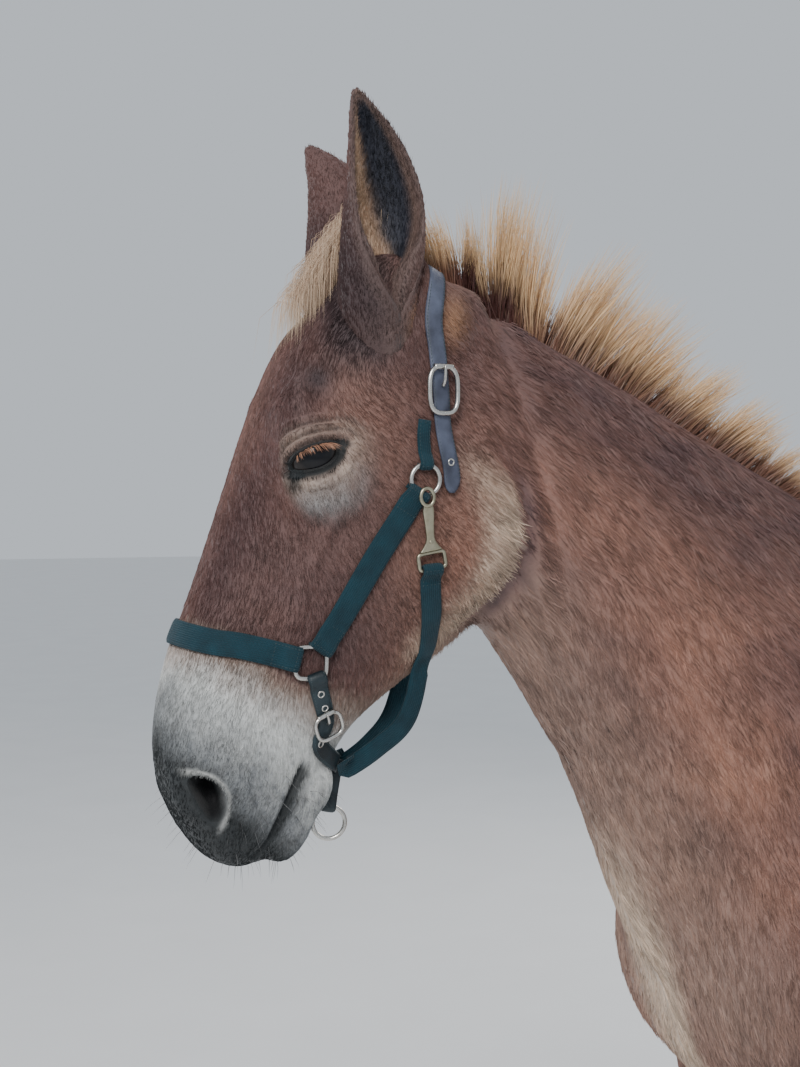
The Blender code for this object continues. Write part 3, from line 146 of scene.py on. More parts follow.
def paint(thing, colours, name="Coat"):
    """Keeps one colour for each point, which a material reads by the attribute's name."""
    layer = thing.data.color_attributes.new(name=name, type="FLOAT_COLOR", domain="POINT")
    rgba = np.ones((len(colours), 4), dtype=np.float32)
    rgba[:, :3] = colours
    layer.data.foreach_set("color", rgba.ravel())


def applied(thing):
    """The object with its modifiers made real."""
    graph = bpy.context.evaluated_depsgraph_get()
    mesh = bpy.data.meshes.new_from_object(thing.evaluated_get(graph))
    thing.modifiers.clear()
    thing.data = mesh
    return thing


def unit(vectors):
    return vectors / np.maximum(np.linalg.norm(vectors, axis=1), 1e-9)[:, None]


# %% [markdown]
# The skin is one closed surface over head, neck, body and legs, so no seam shows where the solids part.
# Copies of the solids are grown a little so that they overlap, and a voxel remesh fuses them. The solids
# are faceted, so the surface is then smoothed: strongly on the flat muscles, lightly where the form is
# fine.

# %% Fuse the flesh into one surface
LEGS = [f"leg_{place}_{side}_{half}" for place in ("front", "hind") for side in ("left", "right")
        for half in ("upper", "lower")]
OVERLAP = 0.0008
BODY_VOXEL = 0.0085
HEAD_VOXEL = 0.0034


def merged_copy(nodes, grow):
    """One mesh of several solids, each grown outwards by a small distance."""
    shape = bmesh.new()
    for node in nodes:
        single = bmesh.new()
        single.from_mesh(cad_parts[node].data)
        bmesh.ops.remove_doubles(single, verts=single.verts, dist=1e-5)
        single.normal_update()
        for vertex in single.verts:
            vertex.co += vertex.normal * grow
        part = bpy.data.meshes.new(node)
        single.to_mesh(part)
        single.free()
        shape.from_mesh(part)
        bpy.data.meshes.remove(part)
    return shape


def from_shape(name, shape):
    mesh = bpy.data.meshes.new(name)
    shape.to_mesh(mesh)
    shape.free()
    return shown(name, mesh)


def fused(name, shape, voxel):
    made = from_shape(name, shape)
    remesh = made.modifiers.new("one surface", "REMESH")
    remesh.mode = "VOXEL"
    remesh.voxel_size = voxel
    return applied(made)


def weighed(thing, strength):
    """The name of a vertex group that holds a strength from 0 to 1 for each point."""
    group = thing.vertex_groups.new(name="strength")
    levels = np.round(np.clip(strength, 0.0, 1.0), 1)
    for level in np.unique(levels):
        group.add(np.flatnonzero(levels == level).tolist(), float(level), "REPLACE")
    return group.name


def soften(thing, strength, rounds):
    """Smooths the surface, by a strength for each point."""
    smooth = thing.modifiers.new("soften", "SMOOTH")
    smooth.iterations = rounds
    smooth.vertex_group = weighed(thing, strength)
    applied(thing)
    thing.vertex_groups.clear()


body = fused("body", merged_copy(["neck", "torso", *LEGS], OVERLAP), BODY_VOXEL)
height = points_of(body)[:, 2]
soften(body, 0.10 + 0.90 * ramp(height, 0.60, 1.00), 60)
soften(body, np.full(len(height), 0.30), 14)
print("body surface:", len(body.data.vertices), "points")

# %% [markdown]
# The eye sockets and the mouth are cut into the solid head. Here the sockets are filled first and the lids
# are shaped afterwards on a finer surface, which gives them crisp edges at the real thickness.

# %% Fuse the head
EYE_RADIUS = 0.0255
SOCKET_FILL = 0.0290


def gaussian(value, centre, half_width):
    """A smooth hump of height 1."""
    return np.exp(-(((value - centre) / half_width) ** 2))


def blob(u, v, centre, halves):
    """A smooth hump of height 1 in a plane."""
    return np.exp(-(((u - centre[0]) / halves[0]) ** 2 + ((v - centre[1]) / halves[1]) ** 2))


def add_ball(shape, centre, radii):
    place = Matrix.Translation(centre) @ Matrix.Diagonal((*radii, 1.0))
    bmesh.ops.create_icosphere(shape, subdivisions=4, radius=1.0, matrix=place)


head_shape = merged_copy(["head"], OVERLAP)
for side in (-1, 1):
    add_ball(head_shape, EYES[side], (SOCKET_FILL,) * 3)
    add_ball(head_shape, head_point(0.505, -0.045, side * 0.022), (0.034, 0.030, 0.026))
head_surface = fused("head surface", head_shape, HEAD_VOXEL)
along, front, side = in_head(points_of(head_surface))
near_eye = blob(along, front, EYE_PLACE, (0.045, 0.045))
muzzle = ramp(along, 0.42, 0.48)
soften(head_surface, 1.0 - 0.75 * near_eye - 0.80 * muzzle, 34)
print("head surface:", len(head_surface.data.vertices), "points")

whole = bmesh.new()
whole.from_mesh(body.data)
whole.from_mesh(head_surface.data)
for thing in (body, head_surface):
    bpy.data.objects.remove(thing)
skin = fused("skin", whole, HEAD_VOXEL)
along, front, side = in_head(points_of(skin))
behind = ramp(-front, 0.0, 0.06) * ramp(-along, -0.42, -0.30)
jaw = ramp(front, -0.20, -0.12) * ramp(along, 0.10, 0.18)
off_head = ramp(np.hypot(np.maximum(-along, 0), np.maximum(-front - 0.22, 0)), 0.0, 0.05)
soften(skin, np.maximum(0.12, behind * (1 - jaw) + 0.5 * off_head), 24)
places = points_of(skin)
seam = (places - np.array(POLL) - np.array([0.076, 0.0, 0.040])) @ np.array([0.9806, 0.0, 0.1961])
on_top = ramp(places[:, 2], 1.64, 1.71) * (1 - ramp(np.abs(places[:, 1] - MIDDLE_Y), 0.02, 0.06))
places[:, 2] += 0.012 * on_top * gaussian(seam, 0.006, 0.034)
move_points(skin, places)
soften(skin, gaussian(seam, 0.0, 0.052), 120)
print("skin:", len(skin.data.vertices), "points")

# %% [markdown]
# A fused surface this fine has a million triangles, far more than the body needs under its coat. A weighted
# decimation thins it behind the head and leaves the head alone. Round the eyes, nostrils and lips the
# surface is then divided again, so that folds of a millimetre can be shaped there.

# %% Thin the body and refine the face
THINNED_SHARE = 0.13
NOSTRIL_PLACE = (0.519, 0.037)
MOUTH_LINE = ((0.459, -0.046), (0.500, -0.041), (0.540, -0.038), (0.566, -0.034))  # along, front


def headness(points):
    """1 on the head and 0 behind it."""
    along, front, _ = in_head(points)
    return (1 - ramp(-along, 0.03, 0.08)) * (1 - ramp(-front, 0.19, 0.24)) * (
        1 - ramp(points[:, 0] - POLL.x, 0.05, 0.10)
    )


def line_distance(u, v, line):
    """Distance in a plane from points to a line of several stretches."""
    nearest = np.full(len(u), 9.0)
    for (u0, v0), (u1, v1) in zip(line, line[1:]):
        du, dv = u1 - u0, v1 - v0
        t = np.clip(((u - u0) * du + (v - v0) * dv) / (du * du + dv * dv), 0, 1)
        nearest = np.minimum(nearest, np.hypot(u - u0 - t * du, v - v0 - t * dv))
    return nearest


thinned = weighed(skin, 1 - headness(points_of(skin)))
thin = skin.modifiers.new("thin", "DECIMATE")
thin.ratio = THINNED_SHARE
thin.vertex_group = thinned
applied(skin)
skin.vertex_groups.clear()


def refine(thing, wanted, cuts):
    """Divides the edges whose two points are both wanted."""
    shape = bmesh.new()
    shape.from_mesh(thing.data)
    edges = [edge for edge in shape.edges if wanted[edge.verts[0].index] and wanted[edge.verts[1].index]]
    bmesh.ops.subdivide_edges(shape, edges=edges, cuts=cuts, use_grid_fill=True, smooth=0.0)
    bmesh.ops.triangulate(shape, faces=[face for face in shape.faces if len(face.verts) > 4])
    shape.to_mesh(thing.data)
    shape.free()


points = points_of(skin)
along, front, side = in_head(points)
near_eye = np.min([np.linalg.norm(points - np.array(EYES[s]), axis=1) for s in (-1, 1)], axis=0) < 0.044
near_nostril = np.hypot(along - NOSTRIL_PLACE[0], front - NOSTRIL_PLACE[1]) < 0.030
near_mouth = (line_distance(along, front, MOUTH_LINE) < 0.009) & (along > 0.44)
refine(skin, near_eye | ((near_nostril | near_mouth) & (along > 0.40)), 2)
print("skin:", len(skin.data.vertices), "points,", len(triangles_of(skin)), "triangles")

# %% [markdown]
# A lid is a fold of skin that lies on the eyeball. Around each eye the surface is moved along rays from the
# eyeball's centre: behind the ball inside the almond of the opening, just over it at the lid's edge, and in
# shallow folds above, which fade into the brow.

# %% Shape the lids
EYE_FORWARD = 0.22
EYE_CORNERS = ((0.209, 0.076), (0.154, 0.030))
OPENING_HALF = 0.0290
OPENING_ABOVE = 0.0088
OPENING_BELOW = 0.0118
BEHIND_BALL = 0.0205
LID_FOLDS = (
    # distance from the opening, rise, half width
    (0.0062, -0.0024, 0.0016), (0.0100, 0.0016, 0.0020), (0.0145, -0.0020, 0.0018),
    (0.0190, 0.0022, 0.0026), (0.0245, -0.0016, 0.0022), (0.0300, 0.0022, 0.0034),
)
LOWER_FOLDS = ((0.0060, -0.0010, 0.0018), (0.0120, -0.0009, 0.0024), (0.0180, 0.0007, 0.0030))


def eye_frame(side):
    """The eyeball's centre, the way it looks, the way from its inner to its outer corner, and up."""
    look = Vector((-EYE_FORWARD, side, 0.04)).normalized()
    slit = (head_point(*EYE_CORNERS[1]) - head_point(*EYE_CORNERS[0])).normalized()
    slit = (slit - look * slit.dot(look)).normalized()
    up = look.cross(slit).normalized()
    return EYES[side], look, slit, up if up.z > 0 else -up


def lid_edges(x):
    """The heights of the middle line and of the upper and the lower lid's edge."""
    share = np.clip(x / OPENING_HALF, -1, 1)
    middle = -0.001 - 0.002 * share
    upper = middle + OPENING_ABOVE * (1 - share**2) ** 0.60 * (1 - 0.40 * share)
    return middle, upper, middle - OPENING_BELOW * (1 - share**2) ** 0.75 * (1 + 0.18 * share)


def opening_distance(x, y):
    """How far a place before the eye lies outside the opening between the lids, and whether it lies above."""
    middle, upper, lower = lid_edges(x)
    beyond = np.maximum(np.abs(x) - OPENING_HALF, 0)
    outside = np.maximum(y - upper, lower - y)
    return np.where(beyond > 0, np.hypot(beyond, np.maximum(outside, 0)), outside), y > middle


def shape_lids(points, side):
    centre, look, slit, up = eye_frame(side)
    away = points - np.array(centre)
    far = np.linalg.norm(away, axis=1)
    near = np.flatnonzero((far < 0.055) & (away @ np.array(look) > 0.004))
    ray = away[near] / far[near][:, None]
    x, y = away[near] @ np.array(slit), away[near] @ np.array(up)
    outside, above = opening_distance(x, y)
    edge = np.where(above, 0.0292, 0.0282)
    lid = BEHIND_BALL + (edge - BEHIND_BALL) * ramp(outside, -0.0012, 0.0008)
    lid = lid + 0.0008 * gaussian(outside, 0.0022, 0.0012)
    blend = ramp(outside, 0.0030, np.where(above, 0.0170, 0.0130)[0] if len(near) else 0.015)
    reach = lid * (1 - blend) + far[near] * blend
    fade = 1 - ramp(np.abs(x), 0.026, 0.040)
    for folds, chosen in ((LID_FOLDS, above), (LOWER_FOLDS, ~above)):
        for distance, rise, half in folds:
            reach += chosen * fade * rise * gaussian(outside, distance, half)
    points[near] = np.array(centre) + ray * reach[:, None]


points = points_of(skin)
for side in (-1, 1):
    shape_lids(points, side)
move_points(skin, points)
print("lids: opening", round(2000 * OPENING_HALF), "mm long")

# %% [markdown]
# The nostril is a comma-shaped hollow with a raised rim at its upper back edge. The mouth is a fine groove
# that starts at its corner and runs round the front, under a fuller upper lip. Both are pressed into the
# surface by a depth that is worked out from each point's place on the head.

# %% Shape the nostrils, lips and cheek bones
NOSTRIL_WAY = (0.625, -0.781)  # the long axis of the nostril, as along and front
NOSTRIL_HALVES = (0.0255, 0.0125)


def nostril_place(along, front):
    """How far out from the nostril's middle in shares of its size, and how far to its front edge."""
    da, df = along - NOSTRIL_PLACE[0], front - NOSTRIL_PLACE[1]
    lengthwise = da * NOSTRIL_WAY[0] + df * NOSTRIL_WAY[1]
    across = -da * NOSTRIL_WAY[1] + df * NOSTRIL_WAY[0]
    across = across - 10.0 * lengthwise**2 + 0.002
    return np.hypot(lengthwise / NOSTRIL_HALVES[0], across / NOSTRIL_HALVES[1]), across


points = points_of(skin)
normals = normals_of(skin)
along, front, side = in_head(points)
share, across = nostril_place(along, front)
on_side = (np.abs(side) > 0.012) & (along > 0.46)
hollow = on_side * (1 - ramp(share, 0.62, 1.04))
rear = 0.35 + 0.65 * ramp(-across, -0.004, 0.010)
rim = on_side * rear * gaussian(share, 1.28, 0.20)
groove = gaussian(line_distance(along, front, MOUTH_LINE), 0.0, 0.0021) * ramp(along, 0.456, 0.470)
lip = gaussian(line_distance(along, front + 0.0075, MOUTH_LINE), 0.0, 0.0042) * ramp(along, 0.462, 0.490)
upper_lip = gaussian(line_distance(along, front - 0.0070, MOUTH_LINE), 0.0, 0.0040) * ramp(along, 0.470, 0.50)
crest = gaussian(line_distance(along, front, ((0.232, 0.014), (0.285, 0.016), (0.335, 0.012))), 0.0, 0.007)
crest *= np.abs(side) > 0.03
hollow_above_eye = blob(along, front, (0.108, 0.070), (0.024, 0.018)) * (np.abs(side) > 0.03)
creases = 0.0
for k in range(4):
    start = (0.452 - 0.004 * k, -0.052 + 0.012 * k)
    crease = line_distance(along, front, (start, (start[0] - 0.020, start[1] + 0.010 + 0.004 * k)))
    creases = creases + gaussian(crease, 0.0, 0.0018)
JAW_EDGE = [
    (0.320, -0.144), (0.260, -0.171), (0.212, -0.174), (0.172, -0.163), (0.136, -0.142), (0.107, -0.104),
]
JAW_MIDDLE = np.array([0.21, -0.09])


def jaw_line(offset):
    """The edge of the cheek, moved outwards from the jaw's middle by an offset."""
    away = np.array(JAW_EDGE) - JAW_MIDDLE
    return [tuple(place) for place in JAW_MIDDLE + away + unit(away) * offset]


def jaw_depth(along, front):
    """How far a place lies inside the edge of the cheek, and less than nothing behind it."""
    depth = line_distance(along, front, jaw_line(0.0))
    beyond = line_distance(along, front, jaw_line(0.03)) < line_distance(along, front, jaw_line(-0.03))
    return np.where(beyond, -depth, depth)


wide = ramp(np.abs(side), 0.020, 0.045)
inside_jaw = jaw_depth(along, front)
rise = 0.0020 * gaussian(inside_jaw, 0.010, 0.014) - 0.0050 * gaussian(inside_jaw, -0.009, 0.011)
rise *= wide * ramp(along, 0.095, 0.140)
rise += 0.0011 * lip + 0.0009 * upper_lip + 0.0024 * rim + 0.0022 * crest
rise -= 0.0045 * groove + 0.0050 * hollow_above_eye + 0.0008 * creases
points += normals * rise[:, None]
for sign in (-1, 1):
    to_ear = np.hypot(points[:, 0] - POLL.x + 0.041, points[:, 1] - MIDDLE_Y - sign * 0.052)
    points[:, 2] += 0.011 * gaussian(to_ear, 0.042, 0.013) * ramp(points[:, 2] - POLL.z, -0.10, -0.05)
points[:, 1] -= np.sign(side) * 0.019 * hollow
points += np.array(-ALONG_FACE) * (0.006 * hollow)[:, None]
move_points(skin, points)
print("nostrils", round(1000 * 2 * NOSTRIL_HALVES[0]), "mm long; mouth from", MOUTH_LINE[0][0], "m along")

# %% [markdown]
# The coat lies over the skin, so the skin sits inside the solids by the coat's depth: a millimetre or two
# on the face and the lower legs, more on the neck and body.

# %% Draw the skin in by the coat's depth
FACE_COAT = 0.0012
BODY_COAT = 0.0042
LEG_COAT = 0.0020


def coat_depth(points):
    leg = 1 - ramp(points[:, 2], 0.35, 0.80)
    depth = BODY_COAT + (LEG_COAT - BODY_COAT) * leg
    return depth + (FACE_COAT - depth) * headness(points)


points = points_of(skin)
points -= normals_of(skin) * coat_depth(points)[:, None]
move_points(skin, points)
for piece in ("head", "neck", "torso", *LEGS):
    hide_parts(piece)
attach(skin, "root")
print("coat depth:", FACE_COAT, "on the face to", BODY_COAT, "on the body")

# %% [markdown]
# Markings, with some painted light and shade. The coat is chestnut, darker along the crest and down the face,
# with a pale muzzle and slate lips, a grey ring round each eye, and cream along the jaw, breast and belly; on
# the jaw's edge the cream is partly a painted highlight. Painted shade lies just behind the jaw, in the hollow
# above each eye, in the creases of the upper lids, round each ear's base and inside the nostrils, and a painted
# highlight lies on each nostril's rim. One function works the colour out from a place and an outward direction,
# so the skin and every tuft agree, whatever their size.

# %% The colours of the coat
def from_screen(red, green, blue):
    """A colour as a screen shows it, from 0 to 255, as the linear light that materials use."""
    value = np.array([red, green, blue]) / 255
    return np.where(value <= 0.04045, value / 12.92, ((value + 0.055) / 1.055) ** 2.4)


CHESTNUT = from_screen(123, 91, 83)
DEEP_CHESTNUT = from_screen(76, 58, 60)
WARM_CHESTNUT = from_screen(152, 112, 94)
CREAM = from_screen(200, 180, 160)
GREY_TAN = from_screen(148, 130, 118)
MUZZLE = from_screen(200, 202, 200)
SLATE = from_screen(16, 22, 24)
TAN = from_screen(188, 146, 112)
LEG_TAN = from_screen(166, 134, 112)
GREY_SKIN = from_screen(104, 104, 104)
BREAST_LINE = ((-0.772, 1.457), (-0.655, 1.255), (-0.549, 1.011))  # front of the neck, before centring
UNCENTRED_POLL = Vector((-0.866, 0.0, 1.790))


def ripple(points, size, seed, waves=7):
    """Smooth random values from -1 to 1 with bumps of about the given size."""
    draw = np.random.default_rng(seed)
    ways = unit(draw.normal(size=(waves, 3)))
    total = np.zeros(len(points))
    for way in ways:
        pitch = 2 * math.pi / (size * draw.uniform(0.7, 1.6))
        total += np.sin(points @ way * pitch + draw.uniform(0, 6.28))
    return total / waves * 1.4


def coat_colour(points, normals):
    along, front, side = in_head(points)
    wide = np.abs(side)
    on_head = headness(points)
    x = points[:, 0] + UNCENTRED_POLL.x - POLL.x
    z = points[:, 2]
    colour = np.tile(CHESTNUT, (len(points), 1))

    def lay(tone, amount):
        amount = np.clip(amount, 0, 1)[:, None]
        colour[:] = colour * (1 - amount) + tone * amount

    blotch = ripple(points, 0.16, 3)
    fine = ripple(points, 0.035, 4)
    grain = ripple(points, 0.012, 5)
    lay(WARM_CHESTNUT, 0.35 + 0.40 * blotch + 0.25 * fine)
    lay(DEEP_CHESTNUT, 0.42 * ramp(ripple(points, 0.10, 6) + 0.7 * fine, -0.2, 1.1))

    crest_line = 1.812 - 0.62 * (x + 0.757)
    near_crest = ramp(z, crest_line - 0.23, crest_line - 0.05) * ramp(x, -0.86, -0.76)
    near_crest *= 1 - ramp(x, -0.30, -0.15)
    lay(DEEP_CHESTNUT, (0.66 + 0.22 * fine) * near_crest)
    throat = line_distance(x, z, BREAST_LINE)
    lay(GREY_TAN, 0.55 * (1 - ramp(throat, 0.0, 0.13)) * (1 - on_head) * ramp(z, 0.9, 1.1))
    breast = (1 - ramp(np.abs(points[:, 1]), 0.015, 0.075)) * (1 - ramp(z, 1.12, 1.30))
    breast *= 1 - ramp(x, -0.42, -0.30)
    lay(CREAM, 0.80 * breast * ramp(z, 0.75, 0.90))
    belly = ramp(-normals[:, 2], 0.15, 0.85) * (1 - ramp(z, 0.85, 1.05)) * ramp(z, 0.60, 0.80)
    lay(CREAM, 0.75 * belly)
    inner = ramp(-normals[:, 1] * np.sign(points[:, 1] - MIDDLE_Y), 0.1, 0.8) * (1 - ramp(z, 0.70, 1.0))
    lay(LEG_TAN, 0.65 * inner)
    lay(LEG_TAN, 0.40 * (1 - ramp(z, 0.30, 0.62)))

    down_face = on_head * (0.45 + 0.35 * ramp(front, 0.045, 0.105))
    lay(DEEP_CHESTNUT, down_face * ramp(-np.abs(front), -0.13, -0.09))
    lay(DEEP_CHESTNUT, on_head * 0.45 * blob(along, front, (0.30, -0.02), (0.08, 0.08)))
    lay(WARM_CHESTNUT, on_head * 0.45 * blob(along, front, (0.20, -0.100), (0.13, 0.04)))
    wide_side = ramp(wide, 0.015, 0.040)
    inside_jaw = jaw_depth(along, front)
    # Cream along the cheek's edge: partly pale coat and partly a painted highlight on the edge's bulge.
    cheek_edge_cream_and_highlight = wide_side * ramp(inside_jaw, -0.004, 0.002) * (1 - ramp(inside_jaw, 0.008, 0.052))
    cheek_edge_cream_and_highlight *= ramp(along, 0.105, 0.170)
    lay(CREAM, (0.80 + 0.14 * fine + 0.10 * grain) * cheek_edge_cream_and_highlight)
    under = ramp(-front, 0.105, 0.16) * ramp(along, 0.28, 0.34) * (1 - ramp(along, 0.38, 0.44))
    lay(CREAM, on_head * 0.50 * under)
    # Painted shade in the groove just behind the jaw's edge.
    lay(DEEP_CHESTNUT, 0.85 * wide_side * gaussian(inside_jaw, -0.012, 0.009) * ramp(along, 0.100, 0.150))
    lay(GREY_TAN, on_head * 0.55 * (1 - ramp(wide, 0.012, 0.045)) * ramp(-front, 0.02, 0.07))
    lay(TAN, 0.55 * blob(along, front, (0.004, -0.034), (0.024, 0.016)))
    # Darker round each ear's base, deepest in front: painted shade where the ear rises from the head.
    for sign in (-1, 1):
        to_ear = np.hypot(points[:, 0] - POLL.x + 0.042, points[:, 1] - MIDDLE_Y - sign * 0.056)
        high = ramp(points[:, 2] - POLL.z, -0.090, -0.040)
        ahead = ramp(POLL.x - 0.042 - points[:, 0], -0.020, 0.012)
        lay(from_screen(58, 47, 50), high * (0.30 + 0.60 * ahead) * (1 - ramp(to_ear, 0.040, 0.072)))
    # Painted shade in the hollow above each eye.
    lay(from_screen(48, 38, 42), on_head * 0.85 * blob(along, front, (0.108, 0.072), (0.017, 0.014)))

    for eye_side in (-1, 1):
        centre, look, slit, up = eye_frame(eye_side)
        away = points - np.array(centre)
        x_eye, y_eye, ahead = away @ np.array(slit), away @ np.array(up), away @ np.array(look)
        outside, above = opening_distance(x_eye, y_eye)
        facing = ramp(ahead, -0.004, 0.006)
        ring = np.where(above, 0.60 * gaussian(outside, 0.015, 0.011), 0.70 * gaussian(outside, 0.010, 0.018))
        below = blob(x_eye, y_eye, (-0.010, -0.034), (0.042, 0.030))
        lay(from_screen(138, 138, 138), facing * (0.75 + 0.3 * fine + 0.2 * grain) * below)
        lay(GREY_TAN, facing * ring * (1 + 0.2 * fine))
        lay(CREAM, facing * 0.16 * ~above * gaussian(outside, 0.011, 0.006) * (0.6 + 0.6 * grain))
        duct = np.hypot(x_eye + 0.030, y_eye + 0.010)
        lid_edge = 1 - ramp(outside, np.where(above, 0.0030, 0.0042), np.where(above, 0.0056, 0.0094))
        lay(SLATE, facing * (0.96 * lid_edge + 0.8 * (1 - ramp(duct, 0.003, 0.014))))
        # Painted shade in the creases of the upper lid's folds.
        for fold in (0.0062, 0.0145, 0.0245):
            lay(SLATE, facing * above * 0.55 * gaussian(outside, fold, 0.0016))
        speck = ramp(ripple(points, 0.005, 10, waves=9), 0.55, 1.0)
        lay(SLATE, facing * ~above * 0.6 * speck * gaussian(outside, 0.006, 0.009))

    edge = 0.374 + 0.016 * ramp(-front, -0.09, 0.03) + 0.007 * fine + 0.003 * grain
    lay(GREY_TAN, on_head * 0.8 * ramp(along, edge - 0.020, edge + 0.012))
    pale = on_head * ramp(along, edge, edge + 0.055)
    lay(MUZZLE, 0.95 * pale)
    low = ramp(along + 0.43 * front + 0.012 * ripple(points, 0.045, 8), 0.430, 0.515)
    lay(from_screen(96, 100, 104), pale * 0.80 * low)
    clouds = ramp(ripple(points, 0.016, 14) + 0.5 * fine, 0.0, 0.9)
    lay(GREY_SKIN, pale * 0.50 * clouds * ramp(along, 0.42, 0.48))
    dapples = ramp(ripple(points, 0.0075, 15), 0.1, 0.8)
    lay(from_screen(92, 96, 102), pale * 0.50 * dapples * ramp(along, 0.43, 0.49))
    share, across = nostril_place(along, front)
    mouth = line_distance(along, front, MOUTH_LINE)
    dark = ramp(along + 0.43 * front + 0.008 * fine + 0.004 * grain, 0.498, 0.542)
    dark = np.maximum(dark, 1 - ramp(share, 1.0, 2.1 + 0.3 * fine) - 0.5 * ramp(-across, 0.004, 0.016))
    by_mouth = 1 - ramp(mouth + 0.8 * (front > -0.040) * mouth, 0.003, 0.014)
    dark = np.maximum(dark, by_mouth * ramp(along, 0.455, 0.47))
    on_muzzle = on_head * ramp(along, 0.44, 0.46)
    # A painted highlight on the nostril's raised rim, which also keeps the dark skin off it.
    painted_rim_highlight = gaussian(share, 1.28, 0.17) * ramp(-across, -0.002, 0.006)
    lay(SLATE, on_muzzle * 0.93 * dark * (1 - 0.8 * painted_rim_highlight))
    lay(from_screen(168, 168, 164), on_muzzle * 0.7 * painted_rim_highlight)
    # Painted shade inside the nostril's hollow.
    lay(from_screen(14, 15, 18), on_muzzle * (1 - ramp(share, 0.75, 1.05)))
    specks = ramp(ripple(points, 0.006, 9, waves=9), 0.75, 1.0)
    lay(SLATE, on_muzzle * 0.65 * specks * (1 - dark))
    return colour * (1 + 0.11 * grain + 0.08 * blotch + 0.10 * fine)[:, None]


skin_points, skin_normals = points_of(skin), normals_of(skin)
skin_colours = np.clip(coat_colour(skin_points, skin_normals), 0.002, 1.0)
paint(skin, skin_colours)
print("skin colours from", skin_colours.min(0).round(3), "to", skin_colours.max(0).round(3))

# %% [markdown]
# The materials of skin and hair read the painted colour, and add what is finer than any tuft: a soft mottle,
# and on the skin a shallow bump. The shine is set on the shader itself. Hair is glossier than skin.

# %% Materials for skin and hair
def plain_material(name, roughness, metallic=0.0, specular=0.5, sheen=0.0):
    material = bpy.data.materials.new(name)
    material.use_nodes = True
    shader = material.node_tree.nodes["Principled BSDF"]
    shader.inputs["Roughness"].default_value = roughness
    shader.inputs["Metallic"].default_value = metallic
    shader.inputs["Specular IOR Level"].default_value = specular
    shader.inputs["Sheen Weight"].default_value = sheen
    return material, material.node_tree, shader


def noise_of(tree, scale, detail=3.0, stretch=(1.0, 1.0, 1.0), source="Object"):
    """A noise texture on Object coordinates, which may be stretched along an axis."""
    place = tree.nodes.new("ShaderNodeTexCoord")
    mapping = tree.nodes.new("ShaderNodeMapping")
    mapping.inputs["Scale"].default_value = stretch
    noise = tree.nodes.new("ShaderNodeTexNoise")
    noise.inputs["Scale"].default_value = scale
    noise.inputs["Detail"].default_value = detail
    tree.links.new(place.outputs[source], mapping.inputs["Vector"])
    tree.links.new(mapping.outputs["Vector"], noise.inputs["Vector"])
    return noise.outputs["Fac"]


def bump_from(tree, shader, height, distance, strength=1.0):
    bump = tree.nodes.new("ShaderNodeBump")
    bump.inputs["Distance"].default_value = distance
    bump.inputs["Strength"].default_value = strength
    tree.links.new(height, bump.inputs["Height"])
    tree.links.new(bump.outputs["Normal"], shader.inputs["Normal"])


def between(tree, factor, low, high):
    """Maps a value from 0 to 1 onto a range."""
    change = tree.nodes.new("ShaderNodeMapRange")
    change.inputs["To Min"].default_value = low
    change.inputs["To Max"].default_value = high
    tree.links.new(factor, change.inputs["Value"])
    return change.outputs["Result"]


def toned(tree, shader, factor, deep, light, start=0.0, end=1.0):
    """Colours a surface by a value, from a deep tone to a light one."""
    tone = tree.nodes.new("ShaderNodeValToRGB")
    low, high = tone.color_ramp.elements
    low.color, high.color = (*deep, 1), (*light, 1)
    low.position, high.position = start, end
    tree.links.new(factor, tone.inputs["Fac"])
    tree.links.new(tone.outputs["Color"], shader.inputs["Base Color"])


def worn(tree, shader, scale, low, high):
    """Varies the roughness of a surface in patches."""
    tree.links.new(between(tree, noise_of(tree, scale), low, high), shader.inputs["Roughness"])


def painted_material(name, roughness, mottle, scale, bump, specular=0.35, sheen=0.0):
    """A material that shows the painted colour, mottled by noise."""
    material, tree, shader = plain_material(name, roughness, specular=specular, sheen=sheen)
    colour = tree.nodes.new("ShaderNodeAttribute")
    colour.attribute_name = "Coat"
    shade = between(tree, noise_of(tree, scale), 1 - mottle, 1 + mottle)
    scaled = tree.nodes.new("ShaderNodeVectorMath")
    scaled.operation = "SCALE"
    tree.links.new(colour.outputs["Color"], scaled.inputs[0])
    tree.links.new(shade, scaled.inputs["Scale"])
    tree.links.new(scaled.outputs["Vector"], shader.inputs["Base Color"])
    if bump:
        bump_from(tree, shader, noise_of(tree, scale * 2.2, 4.0), bump)
    return material


def dress(thing, material):
    thing.data.materials.clear()
    thing.data.materials.append(material)


skin_material = painted_material("haired skin", 0.62, 0.22, 260.0, 0.0009, sheen=0.10)
coat_material = painted_material("coat hair", 0.55, 0.10, 300.0, 0.0, specular=0.25, sheen=0.06)
long_hair_material = painted_material("long hair", 0.45, 0.14, 90.0, 0.0, specular=0.40)
dress(skin, skin_material)
print("materials:", skin_material.name, coat_material.name, long_hair_material.name)

# %% [markdown]
# The coat lies in a known flow: down the nose, back over the cheeks, down the neck and shoulder, along the
# ribs and down each leg. A few named places with a direction each are enough, and every other place takes a
# mix of the ones near it, laid flat on the skin there.

